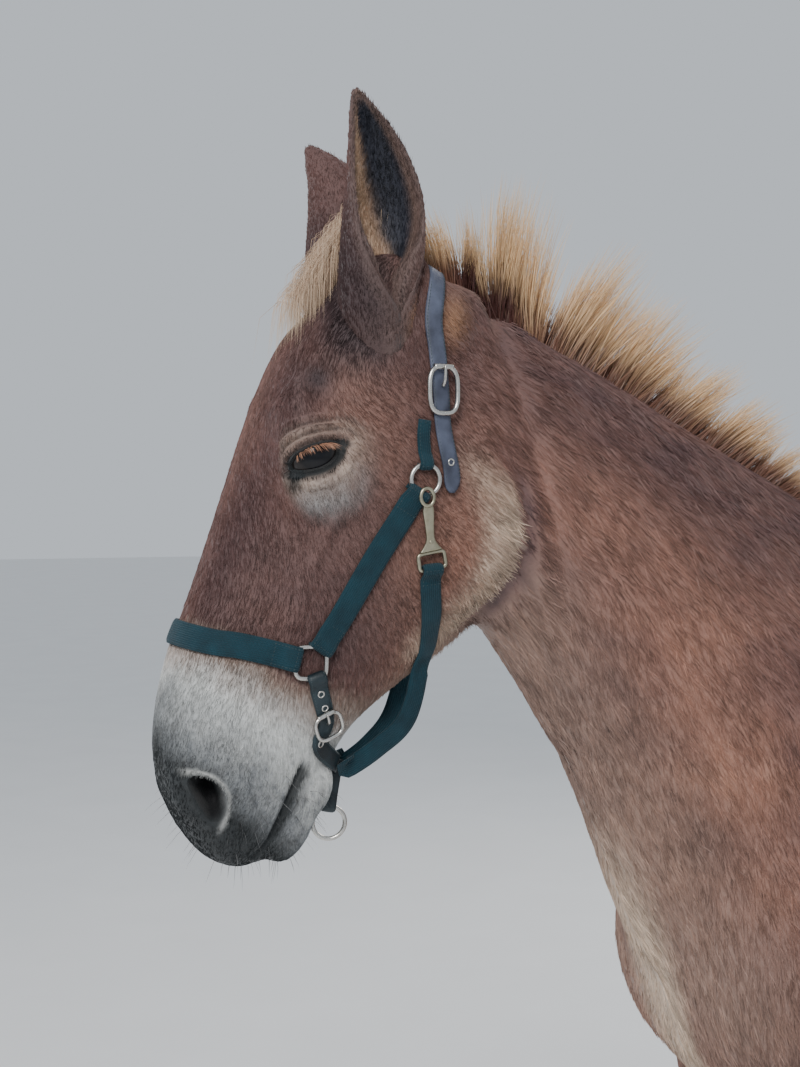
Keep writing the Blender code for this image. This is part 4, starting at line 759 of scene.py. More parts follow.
# %% The lie of the coat
LIE = [
    # place before centring: x, distance from the middle, z; then the direction: x, outwards, z
    ((-1.06, 0.04, 1.28), (-0.35, 0.10, -1.0)),
    ((-1.03, 0.04, 1.45), (-0.30, 0.10, -1.0)),
    ((-1.00, 0.04, 1.62), (-0.05, 0.30, -1.0)),
    ((-0.97, 0.03, 1.73), (-0.15, 0.25, -0.9)),
    ((-0.93, 0.03, 1.77), (-0.45, 0.20, -0.5)),
    ((-0.90, 0.09, 1.66), (0.60, 0.10, -0.55)),
    ((-0.90, 0.08, 1.50), (0.45, 0.10, -0.85)),
    ((-0.80, 0.08, 1.55), (0.75, 0.10, -0.65)),
    ((-0.95, 0.06, 1.36), (0.15, 0.10, -1.0)),
    ((-0.80, 0.05, 1.76), (0.75, 0.25, -0.45)),
    ((-0.70, 0.08, 1.62), (0.62, 0.10, -0.72)),
    ((-0.66, 0.08, 1.40), (0.42, 0.05, -0.90)),
    ((-0.50, 0.09, 1.58), (0.60, 0.20, -0.72)),
    ((-0.45, 0.15, 1.30), (0.40, 0.05, -0.92)),
    ((-0.55, 0.05, 1.15), (0.05, 0.35, -1.0)),
    ((-0.45, 0.16, 1.05), (0.10, 0.10, -1.0)),
    ((-0.25, 0.20, 1.20), (0.60, 0.10, -0.70)),
    ((-0.25, 0.06, 1.53), (0.85, 0.35, -0.30)),
    ((0.05, 0.28, 1.15), (0.92, 0.0, -0.40)),
    ((0.10, 0.08, 1.47), (0.95, 0.30, -0.05)),
    ((0.05, 0.10, 0.80), (0.90, 0.0, -0.10)),
    ((0.40, 0.24, 1.20), (0.80, 0.0, -0.55)),
    ((0.50, 0.10, 1.50), (0.90, 0.40, -0.15)),
    ((0.75, 0.12, 1.35), (0.60, 0.20, -0.75)),
    ((0.62, 0.22, 1.05), (0.35, 0.0, -0.95)),
    ((0.85, 0.06, 1.15), (0.10, 0.20, -1.0)),
    ((-0.42, 0.15, 0.75), (0.05, 0.0, -1.0)),
    ((-0.42, 0.12, 0.30), (0.0, 0.0, -1.0)),
    ((0.70, 0.15, 0.75), (0.20, 0.0, -1.0)),
    ((0.77, 0.14, 0.30), (0.0, 0.0, -1.0)),
]


def coat_lie(points, normals):
    """The way that the hair lies at each point, flat on the surface."""
    here = points - np.array(POLL) + np.array(UNCENTRED_POLL)
    sign = np.where(here[:, 1] < 0, -1.0, 1.0)
    folded = here.copy()
    folded[:, 1] = np.abs(here[:, 1])
    total = np.zeros_like(points)
    for place, way in LIE:
        weight = 1.0 / (np.sum((folded - np.array(place)) ** 2, axis=1) + 0.0009) ** 2
        total += weight[:, None] * unit(np.array([way]))
    total[:, 1] *= sign
    total = unit(total)
    total -= normals * np.sum(total * normals, axis=1)[:, None]
    return unit(total)


print("lie of the coat from", len(LIE), "named places a side")

# %% [markdown]
# Each tuft is a closed sliver of four faces: wide at the root, with a ridge along its back and one tip. A
# sliver is cheap, so there can be enough of them to overlap like tiles. Their roots are drawn at random
# over the skin, more thickly on the head and neck, and the smallest are on the face, ears and feet. The
# coat also carries a map named OFBake. It lays the skin out as six flat views, one for each main direction,
# and gives every tuft a small patch at its root's place there, for a baked texture.

# %% Helpers for tufts
PATCH = 0.003  # width of a tuft's patch on the map
PATCH_CORNERS = np.array([(-0.5, -0.5), (0.5, -0.5), (0.0, 0.0), (0.0, 0.5)]) * PATCH


def scattered(points, triangles, weight, count, draw):
    """Random places on a surface: the triangle and the shares of its three corners."""
    a, b, c = (points[triangles[:, k]] for k in range(3))
    area = np.linalg.norm(np.cross(b - a, c - a), axis=1) / 2
    chance = area * weight[triangles].mean(axis=1)
    chosen = draw.choice(len(triangles), size=count, p=chance / chance.sum())
    u, v = draw.random(count), draw.random(count)
    over = u + v > 1
    u[over], v[over] = 1 - u[over], 1 - v[over]
    return triangles[chosen], np.stack([1 - u - v, u, v], axis=1)


def carried(values, corners, shares):
    """Values of points, mixed at scattered places."""
    return np.einsum("nk,nk...->n...", shares, values[corners])


def flat_places(points, normals):
    """Each root's place on six flat views of the piece, in a square map."""
    low, high = points.min(0), points.max(0)
    size = (high - low).max()
    axis = np.argmax(np.abs(normals), axis=1)
    tile = 2 * axis + (normals[np.arange(len(points)), axis] > 0)
    first, second = np.where(axis == 0, 1, 0), np.where(axis == 2, 1, 2)
    rows = np.arange(len(points))
    u = (points[rows, first] - low[first]) / size
    v = (points[rows, second] - low[second]) / size
    return np.stack([(tile % 3 + 0.02 + 0.96 * u) / 3, (tile // 3 + 0.02 + 0.96 * v) / 2], axis=1)


def add_bake_map(thing, roots, normals, corners, faces):
    """The OFBake map: each tuft's corners close round its root's place."""
    layer = thing.data.uv_layers.new(name="OFBake")
    places = flat_places(roots, normals)[:, None, :] + corners[None]
    uv = places.reshape(-1, 2)[faces.ravel()]
    layer.data.foreach_set("uv", uv.astype(np.float32).ravel())


def tufts(name, roots, normals, lies, lengths, widths, lifts, colours, draw):
    """Closed slivers of hair as one object, with colours that brighten to the tips."""
    across = unit(np.cross(lies, normals))
    lean = across * (draw.normal(size=len(roots)) * 0.13 * lengths)[:, None]
    base = roots - normals * 0.0007
    half = across * (widths / 2)[:, None]
    ridge = roots + (lies * lengths[:, None] + lean * 0.5) * 0.34 + normals * (0.0004 + 0.45 * lifts)[:, None]
    tip = roots + lies * lengths[:, None] + lean + normals * lifts[:, None]
    points = np.stack([base - half, base + half, ridge, tip], axis=1).reshape(-1, 3)
    pattern = np.array([(0, 3, 1), (0, 2, 3), (1, 3, 2), (0, 1, 2)])
    faces = (4 * np.arange(len(roots))[:, None, None] + pattern[None]).reshape(-1, 3)
    made = array_mesh(name, points, faces, smooth=False)
    streak = 0.55 + 0.45 * ramp(lengths, 0.008, 0.015)
    shade = 1.0 + 0.14 * draw.normal(size=len(roots))
    shade += streak * (0.24 * ripple(roots, 0.010, 16) + 0.20 * ripple(roots, 0.028, 17))
    shade = shade.clip(0.4, 1.6)
    tones = colours[:, None, :] * (shade[:, None] * np.array([0.84, 0.84, 1.0, 1.16])[None])[:, :, None]
    paint(made, np.clip(tones, 0.002, 1.0).reshape(-1, 3))
    add_bake_map(made, roots, normals, PATCH_CORNERS, faces)
    dress(made, coat_material)
    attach(made, "root")
    return made


# %% The coat
COAT_SEED = 5
COAT_PIECES = {
    # name: which part of the skin, how many tufts
    "coat_face_left": 49000,
    "coat_face_right": 29000,
    "coat_neck_left": 49000,
    "coat_neck_right": 26000,
    "coat_body_left": 34000,
    "coat_body_right": 31000,
    "coat_legs_left": 18500,
    "coat_legs_right": 18500,
}
x_before_centring = skin_points[:, 0] + UNCENTRED_POLL.x - POLL.x
on_leg = 1 - ramp(skin_points[:, 2], 0.78, 0.82)
on_head = headness(skin_points)
on_front = (1 - ramp(x_before_centring, -0.30, -0.28)) * (1 - on_leg)
on_left = (skin_points[:, 1] < MIDDLE_Y).astype(float)
along, front, side = in_head(skin_points)
REGIONS = {
    "face": on_head,
    "neck": on_front * (1 - on_head),
    "body": (1 - on_front) * (1 - on_leg),
    "legs": on_leg,
}
fineness = 1 - 0.45 * ramp(along, 0.36, 0.50) * on_head
for side_sign in (-1, 1):
    away = np.linalg.norm(skin_points - np.array(EYES[side_sign]), axis=1)
    fineness *= 1 - 0.50 * (1 - ramp(away, 0.025, 0.060))
length_here = 0.0185 * (1 - on_head) + 0.0095 * fineness * on_head
length_here *= 1 - 0.45 * (1 - ramp(skin_points[:, 2], 0.10, 0.60))
length_here *= 1 + 0.35 * ramp(-front, 0.11, 0.19) * on_head
length_here *= 1 + 0.8 * gaussian(jaw_depth(along, front), 0.008, 0.016) * on_head * ramp(along, 0.12, 0.18)
width_here = np.where(on_head > 0.5, 0.0009 * (0.5 + 0.5 * fineness), 0.0021)
width_here = width_here * (1 - 0.32 * on_front * (1 - on_head))
skin_triangles = triangles_of(skin)
bare = np.ones(len(skin_points))
for side_sign in (-1, 1):
    centre, look, slit, up = eye_frame(side_sign)
    away = skin_points - np.array(centre)
    outside, _ = opening_distance(away @ np.array(slit), away @ np.array(up))
    bare[(outside < 0.0030) & (away @ np.array(look) > 0.0) & (np.linalg.norm(away, axis=1) < 0.045)] = 0.0
share, _ = nostril_place(along, front)
bare[(share < 1.15) & (along > 0.45) & (np.abs(side) > 0.012)] = 0.0
bare[(line_distance(along, front, MOUTH_LINE) < 0.003) & (along > 0.455)] = 0.0
bare *= 1 - 0.6 * ramp(along + 0.43 * front, 0.525, 0.545) * on_head
bare *= 1 / (0.3 + 0.7 * fineness)

draw = np.random.default_rng(COAT_SEED)
coat = []
for name, count in COAT_PIECES.items():
    _, region, side_word = name.split("_")
    weight = REGIONS[region] * (on_left if side_word == "left" else 1 - on_left) * bare
    corners, shares = scattered(skin_points, skin_triangles, weight, count, draw)
    roots = carried(skin_points, corners, shares)
    normals = unit(carried(skin_normals, corners, shares))
    lies = coat_lie(roots, normals)
    long = carried(length_here, corners, shares) * draw.uniform(0.75, 1.25, count)
    wide = carried(width_here, corners, shares) * draw.uniform(0.8, 1.25, count)
    wave = ripple(roots, 0.05, 12)
    lift = long * (0.060 + 0.028 * wave + draw.normal(size=count) * 0.018).clip(0.015, 0.2)
    twist = (draw.normal(size=count) * 0.10 + 0.14 * ripple(roots, 0.07, 13))[:, None]
    lies = unit(lies + np.cross(normals, lies) * twist)
    coat.append(tufts(name, roots, normals, lies, long, wide, lift, coat_colour(roots, normals), draw))
print("coat:", len(coat), "pieces,", sum(COAT_PIECES.values()), "tufts")

# %% [markdown]
# A mule's eye is nearly all dark iris, with a wide pupil and a wet, clear cornea that bulges a little. The
# ball is turned with its pole in the line of sight, so the iris is a set of even rings, and its colours are
# painted by the angle from that pole. A clear coat on the shader gives the wet shine.

# %% The eyes
IRIS_HALF = 0.0150
CORNEA_BULGE = 0.0011
BALL_RINGS = 40
BALL_SECTORS = 56


def grid_faces(rows, columns, closed=True):
    """Triangles between rows of points, which may close round."""
    faces = []
    span = columns if closed else columns - 1
    for i in range(rows - 1):
        for k in range(span):
            a, b = i * columns + k, i * columns + (k + 1) % columns
            faces += [(a, b, b + columns), (a, b + columns, a + columns)]
    return faces


def cap_faces(first, columns, middle, flipped):
    """A fan of triangles from one row of points to a middle point."""
    ring = [(first + k, first + (k + 1) % columns) for k in range(columns)]
    return [(middle, b, a) if flipped else (middle, a, b) for a, b in ring]


def tube(rows, ends=None):
    """Points and faces of a tube of rows, closed by a fan at each end."""
    rows = np.asarray(rows)
    count, columns = rows.shape[:2]
    first, last = (rows[0].mean(0), rows[-1].mean(0)) if ends is None else ends
    faces = grid_faces(count, columns) + cap_faces(0, columns, count * columns, True)
    faces += cap_faces((count - 1) * columns, columns, count * columns + 1, False)
    return np.vstack([rows.reshape(-1, 3), first, last]), faces


def outwards(thing, weld=True):
    """Turns the faces of a closed piece so that they all look out."""
    shape = bmesh.new()
    shape.from_mesh(thing.data)
    if weld:
        bmesh.ops.remove_doubles(shape, verts=shape.verts, dist=1e-7)
    bmesh.ops.recalc_face_normals(shape, faces=shape.faces)
    shape.to_mesh(thing.data)
    shape.free()
    return thing


def eyeball(side, word):
    centre, look, slit, up = (np.array(v) for v in eye_frame(side))
    angles = np.linspace(0.02, math.pi - 0.02, BALL_RINGS)
    turns = np.linspace(0, 2 * math.pi, BALL_SECTORS, endpoint=False)
    bulge = CORNEA_BULGE * (1 - ramp(np.sin(angles) * EYE_RADIUS, 0.004, IRIS_HALF + 0.002)) * (angles < 1.5)
    radius = EYE_RADIUS - 0.0006 + bulge
    ring = np.cos(turns)[:, None] * slit + np.sin(turns)[:, None] * up
    points = centre + radius[:, None, None] * (
        np.cos(angles)[:, None, None] * look + np.sin(angles)[:, None, None] * ring[None]
    )
    poles = [centre + look * radius[0], centre - look * radius[-1]]
    flat = np.vstack([points.reshape(-1, 3), poles])
    count = BALL_RINGS * BALL_SECTORS
    faces = grid_faces(BALL_RINGS, BALL_SECTORS)
    faces += cap_faces(0, BALL_SECTORS, count, False)
    faces += cap_faces(count - BALL_SECTORS, BALL_SECTORS, count + 1, True)
    ball = outwards(array_mesh(f"eye_{word}_wet", flat, faces))
    away = points_of(ball) - centre
    x, y, ahead = away @ slit, away @ up, away @ look
    from_middle = np.hypot(x, y)
    rays = 0.5 + 0.5 * np.sin(np.arctan2(y, x) * 38 + 3 * np.sin(np.arctan2(y, x) * 7))
    iris = from_screen(15, 14, 18) * (0.75 + 0.5 * rays)[:, None]
    iris = iris * (0.55 + 0.45 * (1 - ramp(from_middle, 0.010, IRIS_HALF)))[:, None]
    pupil = 1 - ramp(np.hypot(x / 0.0105, y / 0.0058), 0.86, 1.05)
    white = ramp(from_middle, IRIS_HALF - 0.0006, IRIS_HALF + 0.0010)[:, None]
    colours = iris * (1 - pupil)[:, None] + from_screen(9, 10, 16) * pupil[:, None]
    colours = colours * (1 - white) + from_screen(30, 24, 22) * white
    colours[ahead < 0] = from_screen(70, 50, 40)
    paint(ball, colours)
    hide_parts(f"eye_{word}")
    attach(ball, "root")
    return ball


eye_material, eye_tree, eye_shader = plain_material("wet eye", 0.32, specular=0.15)
eye_shader.inputs["Coat Weight"].default_value = 0.35
eye_shader.inputs["Coat Roughness"].default_value = 0.02
eye_colour = eye_tree.nodes.new("ShaderNodeAttribute")
eye_colour.attribute_name = "Coat"
eye_tree.links.new(eye_colour.outputs["Color"], eye_shader.inputs["Base Color"])
for side, word in ((-1, "left"), (1, "right")):
    dress(eyeball(side, word), eye_material)
print("eyes:", BALL_RINGS * BALL_SECTORS, "points each, iris", round(2000 * IRIS_HALF), "mm across")

# %% [markdown]
# An ear is a curled sheet of gristle: almost a full tube at its base, open like a scoop further up, and
# closed at the tip. It is lofted from a few rows that give its middle, radius and how far it wraps round.
# Inside lies a dark patch of hair that runs slantwise down the scoop, with a pale fringe along the front
# edge.

# %% The ears
EAR_ROWS = np.array([
    # x, out, z of the middle, radius, wrap in degrees, before centring
    (-0.903, 0.042, 1.715, 0.038, 180),
    (-0.905, 0.048, 1.750, 0.040, 180),
    (-0.907, 0.055, 1.782, 0.038, 178),
    (-0.908, 0.063, 1.812, 0.039, 148),
    (-0.906, 0.071, 1.845, 0.041, 116),
    (-0.906, 0.082, 1.890, 0.040, 92),
    (-0.918, 0.093, 1.932, 0.030, 78),
    (-0.934, 0.103, 1.962, 0.016, 66),
    (-0.944, 0.108, 1.978, 0.005, 60),
])
EAR_LEAN = {-1: (0.0, 0.0), 1: (0.010, -0.012)}
EAR_OPENING = Vector((0.32, 1.0, 0.0)).normalized()
EAR_WALL = 0.0046
EAR_ACROSS = 22


def smooth_rows(rows, steps):
    """More rows on a smooth curve through the given ones."""
    rows = np.array(rows, dtype=float)
    slopes = np.gradient(rows, axis=0)
    result = []
    for i in range(len(rows) - 1):
        for t in np.arange(steps) / steps:
            a, b = 2 * t**3 - 3 * t**2 + 1, t**3 - 2 * t**2 + t
            c, d = -2 * t**3 + 3 * t**2, t**3 - t**2
            result.append(a * rows[i] + b * slopes[i] + c * rows[i + 1] + d * slopes[i + 1])
    return np.array(result + [rows[-1]])


def ear_colours(height, front, inside, places):
    """Colours from the height and the place between the edges: front is 1 at the front edge."""
    grain = ripple(places, 0.012, 21)
    blotch = ripple(places, 0.04, 22)
    tones = np.tile(from_screen(98, 72, 68), (len(places), 1))
    ahead = 0.85 * ramp(front, -0.2, 0.5) * (1 - ramp(height, 0.40, 0.8))
    tones += (from_screen(58, 46, 48) - tones) * ahead[:, None]
    foot = (1 - ramp(height, 0.16, 0.30)) * ~inside
    tones = tones + (from_screen(72, 54, 52) - tones) * (0.8 * foot)[:, None]
    rim = ramp(np.abs(front), 0.78, 0.95)
    cup = np.tile(from_screen(112, 92, 84), (len(places), 1))
    dark = from_screen(46, 48, 58)
    band = np.interp(height, [0.20, 0.34, 0.50, 0.65, 0.85], [-1.0, -0.72, -0.22, 0.02, 0.22]) + 0.05 * grain
    patch = ramp(band - front, -0.02, 0.12) * (1 - ramp(-front, 0.66, 0.84)) * (1 - ramp(height, 0.86, 0.95))
    fringe = gaussian(front, band + 0.16, 0.18) * ramp(height, 0.10, 0.20) * (1 - ramp(height, 0.74, 0.92))
    cup = cup + (dark - cup) * np.clip(patch, 0, 1)[:, None]
    cup = cup + (from_screen(196, 166, 140) - cup) * np.clip(0.95 * fringe, 0, 1)[:, None]
    tones = np.where(inside[:, None], cup, tones)
    tones = tones + (from_screen(96, 78, 74) - tones) * (0.75 * rim)[:, None]
    base = (1 - ramp(height, 0.14, 0.36)) * ramp(-front, 0.1, 0.6) * (1 - ramp(-front, 0.75, 0.98))
    tones = tones + (from_screen(160, 124, 98) - tones) * (0.70 * base * ~inside)[:, None]
    return np.clip(tones * (1 + 0.10 * grain + 0.06 * blotch)[:, None], 0.003, 1.0)


def ear(side, word):
    rows = smooth_rows(EAR_ROWS, 7)
    tip = ramp(rows[:, 2], EAR_ROWS[2, 2], EAR_ROWS[-1, 2])
    rows[:, 0] += tip * EAR_LEAN[side][0]
    rows[:, 2] += tip * EAR_LEAN[side][1]
    shift = np.array(POLL - UNCENTRED_POLL)
    opening = Vector((EAR_OPENING.x, side * EAR_OPENING.y, 0.0))
    heights = np.linspace(0, 1, len(rows))
    rings, kinds = [], []
    for i, (x, out, z, radius, wrap) in enumerate(rows):
        run = rows[min(i + 1, len(rows) - 1)] - rows[max(i - 1, 0)]
        axis = Vector((run[0], side * run[1], run[2])).normalized()
        back = -(opening - axis * opening.dot(axis)).normalized()
        edge = np.array(axis.cross(back).normalized())
        back = np.array(back)
        shares = np.linspace(-1, 1, EAR_ACROSS + 1)
        angles = np.radians(wrap) * shares
        filled = 1 - float(ramp(np.array(z), 1.770, 1.872))
        wall = np.minimum(EAR_WALL * (1 - 0.5 * shares**4), 0.6 * radius)
        wall = wall + (0.96 * radius - wall) * filled
        way = back * np.cos(angles)[:, None] + edge * np.sin(angles)[:, None]
        middle = np.array([x, side * out, z]) + shift
        rings.append(np.vstack([middle + way * radius, (middle + way * (radius - wall)[:, None])[::-1]]))
        front = -side * shares
        kinds.append(np.stack([
            np.full(2 * len(shares), heights[i]), np.concatenate([front, front[::-1]]),
            np.concatenate([np.zeros(len(shares)), np.ones(len(shares))]),
        ], axis=1))
    points, faces = tube(rings)
    kinds = np.vstack(kinds + [[[0, 0, 1], [1, 0, 0]]])
    made = outwards(array_mesh(f"ear_{word}_shell", points, faces), weld=False)
    made.data.polygons.foreach_set("use_smooth", np.ones(len(made.data.polygons), dtype=bool))
    paint(made, ear_colours(kinds[:, 0], kinds[:, 1], kinds[:, 2] > 0.5, points))
    dress(made, skin_material)
    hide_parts(f"ear_{word}")
    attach(made, "root")
    return made, kinds


EAR_TUFTS = 18000
ears = {}
for side, word in ((-1, "left"), (1, "right")):
    shell, kinds = ear(side, word)
    places, outs = points_of(shell), normals_of(shell)
    weight = ramp(kinds[:, 0], 0.10, 0.16)
    corners, shares = scattered(places, triangles_of(shell), weight, EAR_TUFTS, draw)
    roots, normals = carried(places, corners, shares), unit(carried(outs, corners, shares))
    kind = carried(kinds, corners, shares)
    inside = kind[:, 2] > 0.5
    up_ear = unit(np.tile(np.array([-0.14, side * 0.22, 1.0]), (EAR_TUFTS, 1)))
    lies = unit(up_ear - normals * np.sum(up_ear * normals, axis=1)[:, None])
    lies = unit(lies + draw.normal(size=lies.shape) * 0.12)
    long = np.where(inside, 0.0085, 0.0065) * draw.uniform(0.7, 1.3, EAR_TUFTS) * (1 - 0.5 * kind[:, 0] ** 3)
    wide = draw.uniform(0.0004, 0.0008, EAR_TUFTS)
    tones = ear_colours(kind[:, 0], kind[:, 1], inside, roots)
    lift = long * np.where(inside, 0.16, 0.06)
    tufts(f"coat_ear_{word}", roots, normals, lies, long, wide, lift, tones, draw)
    ears[side] = (shell, kinds)
print("ears:", len(ears[-1][0].data.vertices), "points each, with", EAR_TUFTS, "tufts each")

# %% [markdown]
# Long hair is made of single tapered strands, each a closed three-sided sliver along a curved path. Strands
# that start near one another lean towards a shared tip, because mane hair clings together in locks. A
# strand is a millimetre wide, so the thin ends break the outline softly, as they do on the animal.

# %% Helpers for strands of hair
def strands(name, paths, widths, colours, normals):
    """Closed tapered strands as one object. Paths hold a row of places for each strand."""
    count, steps, _ = paths.shape
    tangents = np.gradient(paths, axis=1)
    tangents /= np.maximum(np.linalg.norm(tangents, axis=2), 1e-9)[..., None]
    across = np.cross(tangents, normals[:, None, :])
    across /= np.maximum(np.linalg.norm(across, axis=2), 1e-6)[..., None]
    out = np.cross(across, tangents)
    half = (widths / 2)[..., None]
    rings = np.stack([paths - across * half, paths + across * half, paths + out * half * 1.1], axis=2)[:, :-1]
    points = np.concatenate([rings.reshape(count, -1, 3), paths[:, -1:]], axis=1)
    per = points.shape[1]
    pattern = []
    for k in range(steps - 2):
        for a, b in ((0, 1), (1, 2), (2, 0)):
            low, high = 3 * k, 3 * k + 3
            pattern += [(low + a, low + b, high + b), (low + a, high + b, high + a)]
    last = 3 * (steps - 2)
    pattern += [(last + a, last + b, per - 1) for a, b in ((0, 1), (1, 2), (2, 0))]
    pattern.append((0, 2, 1))
    faces = (per * np.arange(count)[:, None, None] + np.array(pattern)[None]).reshape(-1, 3)
    made = array_mesh(name, points.reshape(-1, 3), faces, smooth=False)
    tones = np.repeat(colours[:, :-1], 3, axis=1)
    tones = np.concatenate([tones, colours[:, -1:]], axis=1)
    paint(made, np.clip(tones, 0.002, 1.0).reshape(-1, 3))
    level = np.concatenate([np.repeat(np.arange(steps - 1), 3), [steps - 1]]) / (steps - 1)
    place = np.stack([np.tile([-0.5, 0.5, 0.0], steps)[:per], level - 0.5], axis=1) * PATCH
    add_bake_map(made, paths[:, 0], normals, place, faces)
    dress(made, long_hair_material)
    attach(made, "root")
    return made


def tapered(count, steps, width, draw, power=1.6):
    """Widths along each strand, from the root to a fine tip."""
    share = np.linspace(0, 1, steps)
    return width * draw.uniform(0.7, 1.3, count)[:, None] * (1 - 0.88 * share**power)[None]


def graded(root, tip, count, steps, draw, spread=0.12, power=1.0):
    """Colours along each strand, from the root's to the tip's."""
    share = (np.linspace(0, 1, steps)[None] ** power)[..., None]
    shade = (1 + spread * draw.normal(size=count)).clip(0.55, 1.5)[:, None, None]
    return (np.asarray(root) * (1 - share) + np.asarray(tip) * share) * shade


def tree_of(thing):
    """A tree for casting rays onto a piece, whether it shows or not."""
    places = [vertex.co.copy() for vertex in thing.data.vertices]
    return BVHTree.FromPolygons(places, [tuple(face.vertices) for face in thing.data.polygons])


skin_tree = tree_of(skin)


def dropped(x, y, top=3.0):
    """Where a plumb line from above meets the skin."""
    hit = skin_tree.ray_cast(Vector((x, y, top)), Vector((0, 0, -1)))
    return np.array(hit[0]), np.array(hit[1])


print("strands have three sides and a closed root")

# %% [markdown]
# The mane is cut short and stands up in fans, each leaning further back than the one before it. Roots are
# dropped onto the crest from above, and strands of a lock lean together. Shorter brown hair fills the
# roots.
# Under the first fan, which leans forward, the roots are darker: painted shade.

# %% The mane
MANE_FANS = np.array([
    # x of the first and last root before centring, length, lean backwards and how far it opens, in degrees
    (-0.840, -0.782, 0.070, -14, 18), (-0.777, -0.713, 0.122, 2, 11), (-0.704, -0.650, 0.116, 35, 7),
    (-0.640, -0.596, 0.098, 44, 6), (-0.587, -0.540, 0.085, 49, 6), (-0.530, -0.474, 0.072, 52, 6),
    (-0.464, -0.400, 0.060, 56, 6), (-0.390, -0.302, 0.048, 60, 6), (-0.292, -0.190, 0.034, 64, 6),
])
MANE_STRANDS = 8600
MANE_STEPS = 5
MANE_CLUMPS = 84
ROOT_BROWN = from_screen(118, 82, 68)
FLAXEN = from_screen(234, 198, 152)
fan_ends, fan_length = MANE_FANS[:, :2], MANE_FANS[:, 2]
chance = (fan_ends[:, 1] - fan_ends[:, 0]) * (0.3 + fan_length * 14)
fan = draw.choice(len(MANE_FANS), size=MANE_STRANDS, p=chance / chance.sum())
in_fan = (2 * draw.random(MANE_STRANDS) - 1) * (1 - 0.10 * draw.random(MANE_STRANDS))
mane_x = fan_ends[fan].mean(axis=1) + in_fan * (fan_ends[fan, 1] - fan_ends[fan, 0]) * 0.53
short = draw.random(MANE_STRANDS) < 0.34
mane_x = np.where(short, draw.uniform(-0.842, -0.190, MANE_STRANDS), mane_x)
shift_x = POLL.x - UNCENTRED_POLL.x
mane_y = draw.normal(size=MANE_STRANDS).clip(-2, 2) * 0.0085
found = [dropped(x + shift_x, MIDDLE_Y + y) for x, y in zip(mane_x, mane_y)]
mane_roots = np.array([place for place, _ in found])
mane_out = np.array([normal for _, normal in found])
clump_x = np.sort(draw.uniform(-0.842, -0.190, MANE_CLUMPS))
clump = np.abs(mane_x[:, None] - clump_x[None]).argmin(axis=1)
clump_lean = draw.normal(size=MANE_CLUMPS) * 3.5
clump_side = draw.normal(size=MANE_CLUMPS) * 9
clump_size = draw.uniform(0.84, 1.12, MANE_CLUMPS)
length = fan_length[fan] * clump_size[clump] * (1.05 - 0.36 * np.abs(in_fan) ** 4)
length *= 1.22 - 0.62 * draw.random(MANE_STRANDS) ** 1.2
lean = MANE_FANS[fan, 3] + MANE_FANS[fan, 4] * in_fan
lean += np.degrees(np.arctan2((clump_x[clump] - mane_x) * 0.8, length))
fan_middle = fan_ends.mean(axis=1)
short_length = np.interp(mane_x, fan_middle, fan_length) * draw.uniform(0.22, 0.52, MANE_STRANDS)
length = np.where(short, short_length, length)
lean = np.where(short, np.interp(mane_x, fan_middle, MANE_FANS[:, 3]), lean)
lean += clump_lean[clump] + draw.normal(size=MANE_STRANDS) * 3.5
tilt = clump_side[clump] + draw.normal(size=MANE_STRANDS) * 7 + np.degrees(mane_y) * 12
steps = np.linspace(0, 1, MANE_STEPS)
bend = draw.normal(size=MANE_STRANDS) * 9 + np.where(fan == 0, -10, 12)
back = np.radians(lean[:, None] + bend[:, None] * (steps[None] - 0.4))
out = np.radians(tilt[:, None] * (0.5 + 0.8 * steps[None]))
ways = np.stack([np.sin(back), np.sin(out), np.cos(back) * np.cos(out)], axis=2)
walk = np.cumsum(ways[:, :-1], axis=1) * (length / (MANE_STEPS - 1))[:, None, None]
paths = np.concatenate([np.zeros((MANE_STRANDS, 1, 3)), walk], axis=1)
paths += (mane_roots - mane_out * 0.004)[:, None, :]
# Painted shade: roots under the first fan, which leans forward over them, are darker and stay brown further up.
shade_under_first_fan = 0.9 * ramp(mane_x, -0.818, -0.798) * (1 - ramp(mane_x, -0.752, -0.728))
share = np.minimum(steps[None] * length[:, None] / 0.10, 1.0)
flaxen_share = ramp(share, 0.12 + 0.20 * shade_under_first_fan[:, None], 0.46 + 0.14 * shade_under_first_fan[:, None])
flaxen_share = flaxen_share * (1 - 0.45 * draw.random(MANE_STRANDS) ** 2)[:, None]
flaxen_share = flaxen_share * np.where(short, 0.35, 1.0)[:, None]
root_tone = ROOT_BROWN + (from_screen(70, 42, 40) - ROOT_BROWN) * shade_under_first_fan[:, None]
colours = root_tone[:, None] * (1 - flaxen_share[..., None]) + FLAXEN * flaxen_share[..., None]
colours = colours * draw.uniform(0.78, 1.18, MANE_STRANDS)[:, None, None]
widths = tapered(MANE_STRANDS, MANE_STEPS, 0.0010, draw, power=1.1)
outs = np.tile([0.0, -1.0, 0.0], (MANE_STRANDS, 1)) + 0.3 * draw.normal(size=(MANE_STRANDS, 3))
mane_hair = strands("mane_hair", paths, widths, colours, outs)
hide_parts("mane")
print("mane:", MANE_STRANDS, "strands in", len(MANE_FANS), "fans")

# %% [markdown]
# The forelock rises between the ears and falls forward over the brow. All its strands share one curve,
# which each of them stretches by its own lengths ahead, sideways, up and down.

